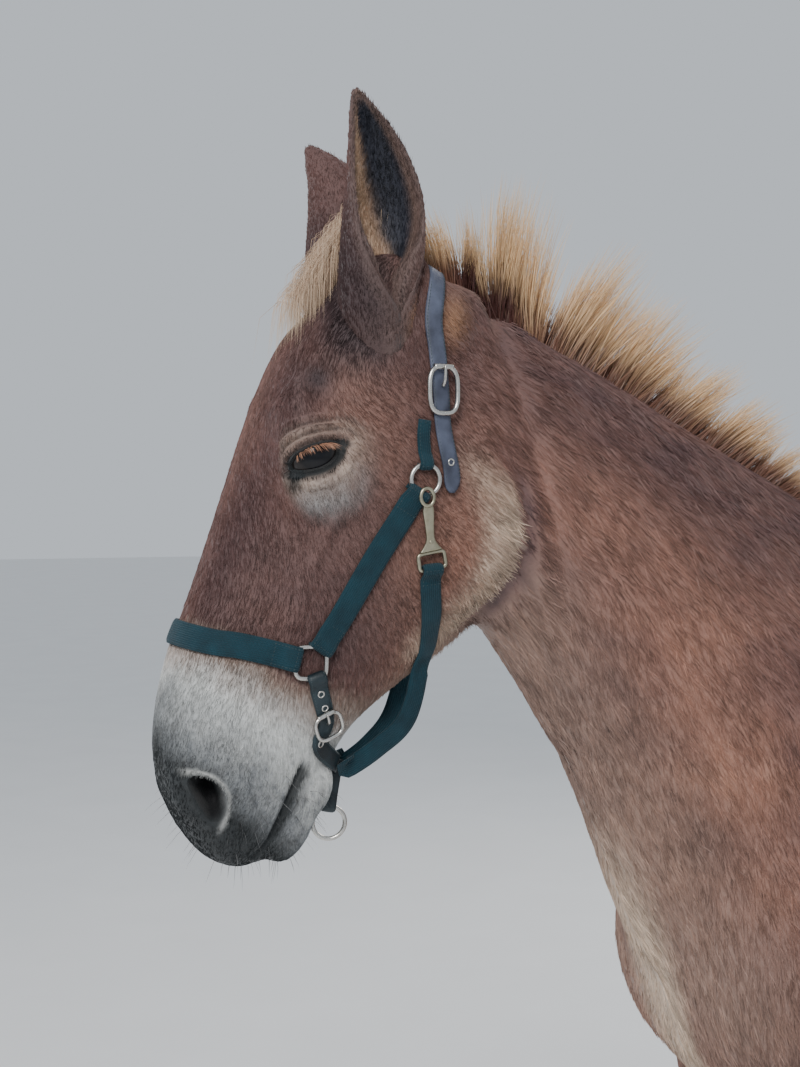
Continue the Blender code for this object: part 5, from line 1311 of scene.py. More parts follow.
# %% The forelock
FORELOCK_STRANDS = 5600
FORELOCK_STEPS = 5
FORELOCK_LOCKS = 40
lock_x = draw.uniform(-0.954, -0.868, FORELOCK_LOCKS)
lock_place = np.stack([lock_x, draw.uniform(-0.017, 0.017, FORELOCK_LOCKS)], 1)
lock_turn = draw.normal(size=FORELOCK_LOCKS) * 0.35
lock_rise = draw.uniform(0.75, 1.15, FORELOCK_LOCKS)
of_lock = draw.integers(0, FORELOCK_LOCKS, FORELOCK_STRANDS)
places = lock_place[of_lock] + draw.normal(size=(FORELOCK_STRANDS, 2)) * (0.009, 0.006)
places[:, 1] = places[:, 1].clip(-0.023, 0.023)
found = [dropped(x + shift_x, MIDDLE_Y + y, 1.90) for x, y in places]
roots = np.array([place for place, _ in found])
normals = np.array([normal for _, normal in found])
ahead_share = (places[:, 0] + 0.868) / -0.086
rise = (0.076 - 0.040 * ahead_share) * lock_rise[of_lock] * draw.uniform(0.55, 1.1, FORELOCK_STRANDS)
ahead = (0.030 + 0.009 * draw.normal(size=FORELOCK_STRANDS)) * (0.55 + 0.45 * ahead_share.clip(0, 1))
drop = 0.012 - 0.074 * ahead_share + 0.012 * draw.normal(size=FORELOCK_STRANDS)
sideways = places[:, 1] * 0.9 * ahead_share.clip(0.1, 1) + 0.016 * np.sin(lock_turn * 3)[of_lock]
sideways = sideways + 0.006 * draw.normal(size=FORELOCK_STRANDS)
shape = np.array([
    # share ahead, share sideways, share of the rise, share of the drop
    (0.0, 0.0, 0.0, 0.0), (0.20, 0.25, 0.55, 0.0), (0.52, 0.55, 0.95, 0.02),
    (0.86, 0.82, 0.88, 0.24), (1.0, 1.0, 0.42, 0.80),
])
paths = np.stack([
    -ahead[:, None] * shape[None, :, 0],
    sideways[:, None] * shape[None, :, 1],
    rise[:, None] * shape[None, :, 2] + drop[:, None] * shape[None, :, 3],
], axis=2)
paths += (roots - normals * 0.003)[:, None, :]
root_tone, tip_tone = from_screen(140, 106, 86), from_screen(222, 196, 168)
colours = graded(root_tone, tip_tone, FORELOCK_STRANDS, FORELOCK_STEPS, draw)
widths = tapered(FORELOCK_STRANDS, FORELOCK_STEPS, 0.0009, draw, power=1.1)
outs = np.tile([0.0, -1.0, 0.2], (FORELOCK_STRANDS, 1)) + 0.3 * draw.normal(size=(FORELOCK_STRANDS, 3))
forelock_hair = strands("forelock_hair", paths, widths, colours, outs)
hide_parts("forelock")
print("forelock:", FORELOCK_STRANDS, "strands in", FORELOCK_LOCKS, "locks")

# %% [markdown]
# The tail starts as a haired dock as thick as a wrist and ends in long hair. Strands leave the dock all the
# way down it, swell out round it and come together again below.

# %% The tail
TAIL_ROWS = np.array([
    # x and z of the middle before centring, radius of the dock
    (0.790, 1.430, 0.026), (0.862, 1.402, 0.028), (0.900, 1.310, 0.027), (0.912, 1.180, 0.024),
    (0.912, 1.020, 0.020), (0.908, 0.850, 0.012), (0.905, 0.640, 0.006), (0.905, 0.430, 0.003),
])
TAIL_STRANDS = 4200
TAIL_STEPS = 8
tail_rows = smooth_rows(TAIL_ROWS, 6)
tail_lengths = np.concatenate([[0], np.cumsum(np.hypot(np.diff(tail_rows[:, 0]), np.diff(tail_rows[:, 1])))])


def along_tail(share, angle, out):
    """Places at shares of the tail's length, at an angle and a distance from its middle."""
    at = np.clip(share, 0, 1) * tail_lengths[-1]
    x, z = (np.interp(at, tail_lengths, tail_rows[:, k]) for k in (0, 1))
    step = 0.01
    dx, dz = (
        np.interp(at + step, tail_lengths, row) - np.interp(at - step, tail_lengths, row)
        for row in (tail_rows[:, 0], tail_rows[:, 1])
    )
    size = np.maximum(np.hypot(dx, dz), 1e-6)
    around = np.stack([dz / size * np.cos(angle), np.sin(angle), -dx / size * np.cos(angle)], axis=-1)
    middle = np.stack([x + shift_x, np.full_like(x, MIDDLE_Y), z], axis=-1)
    return middle + around * out[..., None], around


DOCK_ROWS, DOCK_COLUMNS = 30, 20
core_shares = np.linspace(0.0, 0.62, DOCK_ROWS)
core_turns = np.linspace(0, 2 * math.pi, DOCK_COLUMNS, endpoint=False)
core_radius = np.interp(core_shares * tail_lengths[-1], tail_lengths, tail_rows[:, 2])
core_radius[-1] = 0.001
core_points, _ = along_tail(
    np.repeat(core_shares, DOCK_COLUMNS), np.tile(core_turns, DOCK_ROWS), np.repeat(core_radius, DOCK_COLUMNS)
)
dock = outwards(array_mesh("tail_dock", *tube(core_points.reshape(DOCK_ROWS, DOCK_COLUMNS, 3))))
paint(dock, np.tile(from_screen(112, 82, 72), (len(dock.data.vertices), 1)))
dress(dock, skin_material)
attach(dock, "root")

start = 0.05 + 0.50 * draw.random(TAIL_STRANDS) ** 1.1
end = start + 0.30 + 0.35 * draw.random(TAIL_STRANDS)
end = np.minimum(end, 1.0 - 0.16 * draw.random(TAIL_STRANDS) ** 1.5)
TOP_STRANDS = TAIL_STRANDS // 4
start[:TOP_STRANDS] = 0.25 * draw.random(TOP_STRANDS)
end[:TOP_STRANDS] = start[:TOP_STRANDS] + 0.12 + 0.10 * draw.random(TOP_STRANDS)
angle = draw.uniform(0, 2 * math.pi, TAIL_STRANDS)
angle += 0.25 * np.sin(6 * angle)
turn = draw.normal(size=TAIL_STRANDS) * 0.30
steps = np.linspace(0, 1, TAIL_STEPS)
share = start[:, None] + (end - start)[:, None] * steps[None]
radius = np.interp(share * tail_lengths[-1], tail_lengths, tail_rows[:, 2])
swell = (0.020 * draw.random(TAIL_STRANDS))[:, None] * np.sin(math.pi * steps**0.8)[None]
gather = 1 - 0.55 * ramp(share, 0.62, 1.0)
spread = 0.018 * ramp(share, 0.35, 0.60) * draw.random((TAIL_STRANDS, 1))
reach = (radius + 0.004 * steps[None] + swell + spread) * gather
reach[:, 0] = radius[:, 0] - 0.002
wander = 0.10 * np.sin(9 * share + 40 * angle[:, None])
paths, around = along_tail(share, angle[:, None] + turn[:, None] * steps[None] + wander, reach)
old = draw.random(TAIL_STRANDS) ** 1.5
tip_tone = from_screen(128, 84, 62)[None] + (FLAXEN - from_screen(128, 84, 62))[None] * old[:, None]
colours = graded(from_screen(98, 62, 48), tip_tone[:, None, :], TAIL_STRANDS, TAIL_STEPS, draw)
tail_hair = strands("tail_hair", paths, tapered(TAIL_STRANDS, TAIL_STEPS, 0.0021, draw, power=2.5), colours,
                    around[:, 0])
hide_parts("tail")
print("tail:", TAIL_STRANDS, "strands, lowest at", round(float(paths[..., 2].min()), 3), "m")

# %% [markdown]
# Lashes hang from the edge of the upper lid, longest over the back half of the eye. Stiff single whiskers
# stand on the lips, the chin and round the nostrils. Both are strands too, only thinner and further apart.

# %% Lashes and whiskers
LASHES = 90
WHISKERS = 170
paths, normals, tones = [], [], []
for side in (-1, 1):
    centre, look, slit, up = (np.array(v) for v in eye_frame(side))
    x = draw.uniform(-0.019, 0.026, LASHES)
    share = x / OPENING_HALF
    y = lid_edges(x)[1] + draw.uniform(0.0002, 0.0020, LASHES)
    way = unit(look + np.outer(x, slit) / 0.030 + np.outer(y, up) / 0.030)
    start = centre + way * 0.0290
    long = (0.009 + 0.005 * ramp(x, -0.015, 0.010)) * draw.uniform(0.75, 1.2, LASHES)
    fan = 0.5 * share + 0.12 * draw.normal(size=LASHES)
    path = [start]
    for k, (out, drop) in enumerate(((0.95, 0.10), (0.75, 0.55), (0.45, 0.85), (0.25, 0.95))):
        step = unit(look * out - up * drop + np.outer(fan, slit))
        path.append(path[-1] + step * (long / 4)[:, None])
    paths.append(np.stack(path, axis=1))
    normals.append(np.tile(up, (LASHES, 1)))
    shade = draw.uniform(0.6, 1.2, LASHES)[:, None, None]
    tones.append(np.tile(from_screen(170, 124, 98), (LASHES, 5, 1)) * shade)
widths = tapered(2 * LASHES, 5, 0.00055, draw)
strands("lashes", np.concatenate(paths), widths, np.concatenate(tones), np.concatenate(normals))

on_lips = ramp(along, 0.455, 0.500) * on_head * (1 - ramp(front, 0.045, 0.080)) * bare
corners, shares = scattered(skin_points, skin_triangles, on_lips, WHISKERS, draw)
roots, outs = carried(skin_points, corners, shares), unit(carried(skin_normals, corners, shares))
long = draw.uniform(0.010, 0.030, WHISKERS)
droop = np.array([-0.10, 0.0, -0.55])
path = [roots - outs * 0.001]
for k in range(4):
    step = unit(outs + droop * (0.3 + 0.3 * k) + 0.08 * draw.normal(size=outs.shape))
    path.append(path[-1] + step * (long / 4)[:, None])
grey = draw.uniform(0.01, 0.20, WHISKERS)[:, None, None] * np.ones((1, 5, 3))
strands("whiskers", np.stack(path, axis=1), tapered(WHISKERS, 5, 0.00045, draw), grey, outs)
print("lashes:", 2 * LASHES, "and whiskers:", WHISKERS)

# %% [markdown]
# A hoof is a slanted tube of horn, highest in front and longest at the toe. Rings from its growth run round
# it, a little closer at the heel, and fine streaks run down it.

# %% The hooves
CORONET_SLOPE = math.radians(22)
CORONET_HEIGHT = 0.056
FEET = {"front_left": (-0.455, -0.125), "front_right": (-0.455, 0.125),
        "hind_left": (0.705, -0.135), "hind_right": (0.705, 0.135)}
hoof_material, hoof_tree, hoof_shader = plain_material("hoof horn", 0.42, specular=0.4)
streaks = noise_of(hoof_tree, 160.0, 5.0, stretch=(1.0, 1.0, 0.10))
toned(hoof_tree, hoof_shader, streaks, (0.022, 0.020, 0.019), (0.120, 0.100, 0.082))
bump_from(hoof_tree, hoof_shader, streaks, 0.0006)
worn(hoof_tree, hoof_shader, 60.0, 0.32, 0.60)
slope = np.array([math.cos(CORONET_SLOPE), 0.0, -math.sin(CORONET_SLOPE)])
HOOF_ROWS, HOOF_COLUMNS = 40, 64
for word, (foot_x, foot_y) in FEET.items():
    angles = 2 * math.pi * np.arange(HOOF_COLUMNS) / HOOF_COLUMNS
    ahead, across = np.cos(angles), np.sin(angles)
    centre = np.array([foot_x - 0.002, 0.0, CORONET_HEIGHT - 0.0003])
    upper = centre - slope * (ahead * 0.054)[:, None] + np.array([0, 1, 0]) * (across * 0.053)[:, None]
    toe = 0.048 + 0.042 * ramp(ahead, -0.35, 0.35)
    lower = np.stack([foot_x - 0.014 - ahead * toe, across * 0.062, np.zeros(HOOF_COLUMNS)], axis=1)
    rows = []
    for t in np.linspace(0, 1, HOOF_ROWS):
        ring = upper * (1 - t) + lower * t
        grow = 0.0005 * math.sin(t * 44) * (1 - t) + 0.0012 * math.exp(-((t / 0.08) ** 2))
        edge = -0.0016 * math.exp(-(((1 - t) / 0.03) ** 2))
        away = ring - ring.mean(0)
        rows.append(ring + unit(away * np.array([1, 1, 0])) * (grow + edge - 0.0004))
    rows[-1][:, 2] = 0.0
    flat, faces = tube(rows)
    flat += np.array([POLL.x - UNCENTRED_POLL.x, MIDDLE_Y + foot_y, 0.0])
    made = outwards(array_mesh(f"hoof_{word}_horn", flat, faces))
    dress(made, hoof_material)
    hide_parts(f"hoof_{word}")
    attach(made, "root")
print("hooves:", len(FEET), "of", HOOF_ROWS * HOOF_COLUMNS, "points")

# %% [markdown]
# The halter has three materials: woven nylon webbing over the nose, cheeks and throat, oiled leather over
# the poll and under the chin, and nickelled rings and buckles. Each strap is a band swept along places
# where rays meet the solid head, so it lies on the face. Its map runs in metres, across and along, which
# gives the weave and the grain their real scale.

# %% Helpers for the halter
WEB_WIDTH, LEATHER_WIDTH, TAB_WIDTH = 0.025, 0.019, 0.014
STRAP_THICKNESS = 0.003
WIRE, RING_RADIUS, SQUARE_HALF = 0.0024, 0.015, 0.0155
WIRE_LIFT = 0.0046
SIDE_WAY = (0.0, 0.0, 1.0)


head_tree = tree_of(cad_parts["head"])


def head_direction(along, front, side):
    return (head_point(along, front, side) - head_point(0, 0)).normalized()


def touch_head(along, front, way=SIDE_WAY, side=-1):
    """Where a ray that comes in along a way meets the head, and the outward direction there."""
    out = head_direction(way[0], way[1], way[2] * side)
    hit, normal, _, _ = head_tree.ray_cast(head_point(along, front) + out * 0.3, -out)
    return hit, (normal + out * 0.6).normalized()


def softened(values, rounds):
    for _ in range(rounds):
        values = np.concatenate([values[:1], (values[:-2] + 2 * values[1:-1] + values[2:]) / 4, values[-1:]])
    return values


STRAPS, WIRES = {}, {}
BAR_GAP = 0.0003


def dense_path(path):
    rows = smooth_rows([tuple(point) + tuple(normal) for point, normal in path], 12)
    return rows, np.concatenate([[0], np.cumsum(np.linalg.norm(np.diff(rows[:, :3], axis=0), axis=1))])


def crossing(rows, bar):
    """Where a path passes nearest to a bar of bent wire: the row of the path and the place on the bar."""
    gaps = np.linalg.norm(rows[:, None, :3] - bar[None], axis=2)
    row, place = np.unravel_index(gaps.argmin(), gaps.shape)
    return row, bar[place]


def laid_heights(points, across, normals, halves, shares, trees, lift):
    """How far each place across a strap stands off its path to lie on the surfaces in the trees."""
    heights = np.zeros((len(points), len(shares)))
    for i in range(len(points)):
        normal = Vector(normals[i])
        for j, share in enumerate(shares):
            base = Vector(points[i] + across[i] * share * halves[i])
            found = [tree.ray_cast(base + normal * 0.04, -normal, 0.06)[0] for tree in trees]
            heights[i, j] = max([(hit - base).dot(normal) for hit in found if hit is not None], default=0.0)
    heights = np.maximum(heights, heights.max(axis=1, keepdims=True) - 0.0018)
    return np.maximum(softened(heights, 6), heights - 0.0004) + lift


def turned_end(place, along, normal, wire, back):
    """Rows of a strap's inner side that turn round a bar: their middles and outward ways."""
    turns = np.radians(np.arange(18, 195, 22))
    ways = normal * np.cos(turns)[:, None] + along * np.sin(turns)[:, None]
    middles = place + ways * (wire + BAR_GAP)
    if back:
        way = -normal * (wire + BAR_GAP)
        hanging = [[place + way - along * far] for far in np.arange(0.002, back, 0.003)]
        middles = np.vstack([middles] + hanging)
        ways = np.vstack([ways, np.tile(-normal, (len(middles) - len(ways), 1))])
    return middles, ways


def band(name, path, width, trees, bars=(None, None), lift=0.0014, pointed=False, step=0.004, back=0.0):
    """A strap with rounded edges that lies on the surfaces in the trees and turns round bars at its ends."""
    rows, lengths = dense_path(path)
    start, end, places = 0.0, lengths[-1], [None, None]
    if bars[0] is not None:
        row, places[0] = crossing(rows[: len(rows) // 2], bars[0])
        start = lengths[row]
    if bars[1] is not None:
        row, places[1] = crossing(rows[len(rows) // 2:], bars[1])
        end = lengths[row + len(rows) // 2]
    count = max(3, round((end - start) / step) + 1)
    at = np.linspace(start, end, count)
    rows = np.array([np.interp(at, lengths, column) for column in rows.T]).T
    rows[:, 3:] = softened(rows[:, 3:], 8)
    points, normals = rows[:, :3], unit(rows[:, 3:])
    tangents = unit(np.gradient(points, axis=0))
    across = unit(np.cross(tangents, normals))
    normals = unit(np.cross(across, tangents))
    shares = np.linspace(-1, 1, 9)
    halves = np.full(count, width / 2)
    if pointed:
        halves *= 0.30 + 0.70 * np.sqrt(np.clip((at - start) / 0.012, 0, 1))
    heights = np.zeros((count, 9)) if not trees else laid_heights(
        points, across, normals, halves, shares, trees, lift
    )
    for k, far in ((0, at - start), (1, end - at)):
        if places[k] is not None:
            over = (1 - ramp(far, 0.002, 0.013))[:, None]
            last = -k
            rise = (places[k] - points[last]) @ normals[last] + WIRE + BAR_GAP
            heights = heights * (1 - over) + np.maximum(rise, heights) * over
    inner = points[:, None] + across[:, None] * (shares[None] * halves[:, None])[..., None]
    inner = inner + normals[:, None] * heights[..., None]
    for k in (0, 1):
        if places[k] is None:
            continue
        last = -k
        along = tangents[last] * (1 if k else -1)
        centre = places[k] + across[last] * ((points[last] - places[k]) @ across[last])
        middles, ways = turned_end(centre, along, normals[last], WIRE, back)
        turned = middles[:, None] + across[last][None, None] * (shares[None] * halves[last])[..., None]
        sides = np.tile(across[last], (len(middles), 1))
        wide = np.full(len(middles), halves[last])
        if k:
            inner, normals = np.vstack([inner, turned]), np.vstack([normals, ways])
            across, halves = np.vstack([across, sides]), np.concatenate([halves, wide])
        else:
            inner, normals = np.vstack([turned[::-1], inner]), np.vstack([ways[::-1], normals])
            across, halves = np.vstack([sides, across]), np.concatenate([wide, halves])
    return finished_band(name, inner, across, normals, halves, shares)


def finished_band(name, inner, across, normals, halves, shares):
    """Gives the rows of a strap's inner side their thickness, and lays its map."""
    edge = np.abs(shares) ** 8
    thick = STRAP_THICKNESS * (1 - 0.42 * edge) + 0.0003 * (1 - shares**2)
    outer = inner + normals[:, None] * thick[None, :, None]
    inner = inner + normals[:, None] * (0.30 * STRAP_THICKNESS * edge)[None, :, None]
    rows = np.concatenate([inner, outer[:, ::-1]], axis=1)
    columns = rows.shape[1]
    made = outwards(array_mesh(name, *tube(rows)), weld=False)
    middle = outer[:, 4]
    run = np.concatenate([[0], np.cumsum(np.linalg.norm(np.diff(middle, axis=0), axis=1))])
    u = np.concatenate([shares, shares[::-1]])[None] * halves[:, None]
    uv = np.stack([u, np.repeat(run[:, None], columns, axis=1)], axis=2).reshape(-1, 2)
    uv = np.vstack([uv, [[0, 0], [0, run[-1]]]])
    corner = np.empty(len(made.data.loops), dtype=np.int32)
    made.data.loops.foreach_get("vertex_index", corner)
    layer = made.data.uv_layers.new(name="Strap")
    layer.data.foreach_set("uv", uv[corner].astype(np.float32).ravel())
    STRAPS[name] = (middle, across, normals, halves, run)
    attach(made, "root")
    return made


def on_strap(name, at, aside=0.0, rise=0.0):
    """A place on a strap's outer face at a distance along it and aside from its middle line."""
    middle, across, normals, _, run = STRAPS[name]
    place, side, out = (
        np.array([np.interp(at, run, column) for column in rows.T]) for rows in (middle, across, normals)
    )
    return place + side * aside + out * (rise - 0.0003 * (aside / 0.01) ** 2), out


def wire_ring(name, centre, normal, up, half_width, half_height, square=2.0, wire=WIRE, count=56, sides=12):
    """A closed ring of round wire: round at a squareness of 2, and nearer a rectangle above it."""
    normal = normal.normalized()
    up = (up - normal * up.dot(normal)).normalized()
    right = np.array(up.cross(normal))
    normal, up = np.array(normal), np.array(up)
    angles = 2 * math.pi * (np.arange(count) + 0.5) / count
    x = np.sign(np.cos(angles)) * np.abs(np.cos(angles)) ** (2 / square) * half_width
    y = np.sign(np.sin(angles)) * np.abs(np.sin(angles)) ** (2 / square) * half_height
    middle = np.array(centre) + x[:, None] * right + y[:, None] * up
    for _ in range(2 if square > 2 else 0):
        middle = (np.roll(middle, 1, 0) + 2 * middle + np.roll(middle, -1, 0)) / 4
    tangents = unit(np.roll(middle, -1, 0) - np.roll(middle, 1, 0))
    out = unit(np.cross(tangents, normal))
    turns = 2 * math.pi * np.arange(sides) / sides
    ring = out[:, None] * np.cos(turns)[None, :, None] + normal * np.sin(turns)[None, :, None]
    points = (middle[:, None] + wire * ring).reshape(-1, 3)
    faces = []
    for k in range(count):
        for j in range(sides):
            a, b = k * sides + j, k * sides + (j + 1) % sides
            c, d = ((k + 1) % count) * sides + j, ((k + 1) % count) * sides + (j + 1) % sides
            faces += [(a, b, d), (a, d, c)]
    made = outwards(array_mesh(name, points, faces))
    WIRES[name] = middle
    return made


def rod(name, path, radii, sides=14):
    """A closed round bar along a path, with a radius at each place."""
    path, radii = np.array(path, dtype=float), np.array(radii, dtype=float)
    rows = smooth_rows(np.hstack([path, radii[:, None]]), 6)
    tangents = unit(np.gradient(rows[:, :3], axis=0))
    guide = np.cross(tangents, [0.31, 0.17, 0.94])
    first = unit(guide)
    second = np.cross(tangents, first)
    turns = 2 * math.pi * np.arange(sides) / sides
    ring = first[:, None] * np.cos(turns)[None, :, None] + second[:, None] * np.sin(turns)[None, :, None]
    points = rows[:, None, :3] + ring * rows[:, None, 3:]
    return outwards(array_mesh(name, *tube(points, (rows[0, :3], rows[-1, :3]))))


def joined(name, things):
    """Several closed pieces as one object."""
    shape = bmesh.new()
    for thing in things:
        shape.from_mesh(thing.data)
        bpy.data.objects.remove(thing)
    made = from_shape(name, shape)
    made.data.polygons.foreach_set("use_smooth", np.ones(len(made.data.polygons), dtype=bool))
    return made


def lift_clear(thing, trees, way):
    """Moves a piece outwards along a way until it lies clear of the surfaces in the trees."""
    reach, margin, rise = 0.05, 0.0004, 0.0
    for point in points_of(thing)[::3]:
        start = Vector(point) + way * reach
        for tree in trees:
            hit = tree.ray_cast(start, -way, reach + margin)[0]
            if hit is not None:
                rise = max(rise, reach + margin - (start - hit).length)
    thing.data.transform(Matrix.Translation(way * rise))
    if thing.name in WIRES:
        WIRES[thing.name] = WIRES[thing.name] + np.array(way * rise)
    return way * rise


print("head surface ready for the straps")

# %% Materials of the halter
def webbing_material():
    """Woven nylon: ribs across the strap, and yarns that run along it, from the strap's own map."""
    material, tree, shader = plain_material("woven webbing", 0.62, specular=0.25, sheen=0.08)
    place = tree.nodes.new("ShaderNodeUVMap")
    place.uv_map = "Strap"
    heights = []
    for direction, pitch, phase in (("Y", 0.00135, 0.0), ("X", 0.0021, 0.4)):
        wave = tree.nodes.new("ShaderNodeTexWave")
        wave.bands_direction = direction
        wave.inputs["Scale"].default_value = 2 * math.pi / (20.0 * pitch)
        wave.inputs["Distortion"].default_value = 0.3
        wave.inputs["Detail"].default_value = 1.0
        wave.inputs["Detail Scale"].default_value = 2.0
        wave.inputs["Phase Offset"].default_value = phase
        tree.links.new(place.outputs["UV"], wave.inputs["Vector"])
        heights.append(wave.outputs["Fac"])
    both = tree.nodes.new("ShaderNodeMath")
    both.operation = "MULTIPLY"
    tree.links.new(heights[0], both.inputs[0])
    tree.links.new(heights[1], both.inputs[1])
    bump_from(tree, shader, both.outputs["Value"], 0.0007)
    # The weave's height also sets the colour: its ribs are painted lighter and its grooves darker, as shade, over
    # paler patches from noise.
    mix = tree.nodes.new("ShaderNodeMath")
    mix.operation = "MULTIPLY_ADD"
    mix.inputs[1].default_value = 0.65
    tree.links.new(both.outputs["Value"], mix.inputs[0])
    tree.links.new(between(tree, noise_of(tree, 60.0), 0.0, 0.7), mix.inputs[2])
    toned(tree, shader, mix.outputs["Value"], (0.0014, 0.0150, 0.0230), (0.0060, 0.0560, 0.0800), 0.15, 0.95)
    return material


def leather_material(name, deep, pale):
    """Oiled leather: fine grain, small creases and a duller, paler wear in patches."""
    material, tree, shader = plain_material(name, 0.45, specular=0.5)
    grain = tree.nodes.new("ShaderNodeTexVoronoi")
    grain.inputs["Scale"].default_value = 900.0
    place = tree.nodes.new("ShaderNodeTexCoord")
    tree.links.new(place.outputs["Object"], grain.inputs["Vector"])
    bump_from(tree, shader, grain.outputs["Distance"], 0.00022)
    toned(tree, shader, noise_of(tree, 45.0, 6.0), deep, pale, 0.30, 0.80)
    worn(tree, shader, 120.0, 0.34, 0.62)
    return material


def nickel_material():
    """Nickelled steel with fine scratches and a few dull places."""
    material, tree, shader = plain_material("worn nickel", 0.25, metallic=1.0)
    toned(tree, shader, noise_of(tree, 180.0, 5.0), (0.42, 0.40, 0.36), (0.74, 0.73, 0.70))
    worn(tree, shader, 320.0, 0.14, 0.42)
    bump_from(tree, shader, noise_of(tree, 700.0, 2.0, stretch=(1.0, 1.0, 0.2)), 0.00005)
    return material


webbing, nickel = webbing_material(), nickel_material()
leather = leather_material("oiled leather", (0.028, 0.032, 0.052), (0.115, 0.135, 0.200))
dark_leather = leather_material("dark leather", (0.004, 0.010, 0.014), (0.020, 0.040, 0.050))
thread_material, thread_tree, thread_shader = plain_material("waxed thread", 0.6, sheen=0.2)
toned(thread_tree, thread_shader, noise_of(thread_tree, 500.0), (0.006, 0.022, 0.028), (0.016, 0.050, 0.060))
print("halter materials:", webbing.name, leather.name, nickel.name, thread_material.name)

# %% [markdown]
# A square ring before the cheek and a round one below the ear carry all the straps. The rings are bent
# first, so that each strap can end by turning round the wire that it meets.

# %% Side rings and straps
squares = {side: touch_head(0.367, -0.014, side=side) for side in (-1, 1)}
rings = {side: touch_head(0.166, -0.054, side=side) for side in (-1, 1)}
CHEEK_PATH = [(0.320, -0.026), (0.250, -0.037), (0.205, -0.046)]
THROAT_PATH = [(0.262, -0.102), (0.300, -0.124), (0.328, -0.134)]
THROAT_FREE = [(0.390, -0.140, 0.020), (0.428, -0.124, 0.010), (0.456, -0.102, 0.0055)]
CROWN_END = [(0.168, -0.086), (0.148, -0.078), (0.112, -0.056)]
CROWN_PATH = [(0.079, -0.042), (0.045, -0.027), (0.015, -0.014)]
CROWN_TOP = [((-0.4, -0.15, 1.0), -0.004), ((-1.0, -0.25, 0.9), -0.006), ((-1.0, -0.3, 0.35), -0.008)]
CHIN_PATH = [(0.392, -0.034), (0.418, -0.052)]
CHIN_TURN = [((0.0, -0.55, 1.0), 0.440), ((0.0, -1.0, 0.55), 0.452)]


def raised(place, height):
    return place[0] + place[1] * height


def side_path(places, side):
    return [touch_head(*place, side=side) for place in places]


def turned_path(places, front, side):
    return [touch_head(along, front, way, side) for way, along in places]


up_head = head_direction(-1, 0, 0)
bars = {}
for side, word in ((-1, "left"), (1, "right")):
    diagonal = up_head + head_direction(0, 1, 0) * 0.35
    for kind, place, upwards, half, square in (
        ("square", squares[side], diagonal, SQUARE_HALF, 4.5),
        ("ring", rings[side], up_head, RING_RADIUS, 2.0),
    ):
        name = f"halter_{kind}_{word}_metal"
        ring = wire_ring(name, raised(place, WIRE_LIFT), place[1], upwards, half, half, square)
        lift_clear(ring, [head_tree], place[1])
        dress(ring, nickel)
        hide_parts(f"halter_{kind}_{word}")
        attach(ring, "root")
        bars[kind, side] = WIRES[name]

nose_path = [squares[-1]]
for angle in (-68, -42, -20, 0, 20, 42, 68):
    turn = math.radians(angle)
    way = (0.0, math.cos(turn), math.sin(turn))
    nose_path.append(touch_head(0.368 + 0.014 * math.cos(turn), 0.03, way, 1))
nose_path.append(squares[1])
ends = (bars["square", -1], bars["square", 1])
noseband = band("halter_noseband_web", nose_path, WEB_WIDTH, [head_tree], ends)
chin_middle = touch_head(0.457, -0.03, (0.0, -1.0, 0.0), 1)
chin_path = [squares[-1], *side_path(CHIN_PATH, -1), *turned_path(CHIN_TURN, -0.03, -1), chin_middle]
chin_path += turned_path(CHIN_TURN[::-1], -0.03, 1) + [*side_path(CHIN_PATH[::-1], 1), squares[1]]
chin = band("halter_chin_leather", chin_path, LEATHER_WIDTH, [head_tree], ends, 0.0024)
chin_tree = tree_of(chin)
dress(noseband, webbing)
dress(chin, dark_leather)
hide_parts("halter_noseband")
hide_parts("halter_chin_strap")
for side, word in ((-1, "left"), (1, "right")):
    path = [squares[side], *side_path(CHEEK_PATH, side), rings[side]]
    ends = (bars["square", side], bars["ring", side])
    cheek = band(f"halter_cheek_{word}_web", path, WEB_WIDTH, [head_tree], ends)
    dress(cheek, webbing)
    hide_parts(f"halter_cheek_{word}")
tab_path = [rings[-1], *side_path([(0.146, -0.047), (0.128, -0.039), (0.112, -0.035)], -1)]
tab = band("halter_tab_web", tab_path, TAB_WIDTH, [head_tree], (bars["ring", -1], None))
dress(tab, webbing)
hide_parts("halter_tab")
crown_path = side_path(CROWN_END + CROWN_PATH, -1) + turned_path(CROWN_TOP, 0.0, -1)
crown_path.append(touch_head(-0.008, 0.0, (-1.0, -0.35, 0.0), 1))
crown_path += turned_path(CROWN_TOP[::-1], 0.0, 1) + side_path(CROWN_PATH[::-1] + [(0.125, -0.050)], 1)
crown_path.append(rings[1])
ends = (None, bars["ring", 1])
crown = band("halter_crown_leather", crown_path, LEATHER_WIDTH, [head_tree], ends, 0.0024, pointed=True)
dress(crown, leather)
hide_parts("halter_crown")
crown_tree = tree_of(crown)
print("straps:", {name: round(float(rows[4][-1]), 3) for name, rows in STRAPS.items()})

# %% [markdown]
# The snap is a flat cast body: an eye at the top, a narrow waist, a rivet, and a wide slot at the bottom
# that the throat strap is sewn round. A buckle has a frame, a tongue that rests across it, and a small
# roller on the bar that the strap pulls against. The lead ring hangs from a short doubled strap under the
# chin.

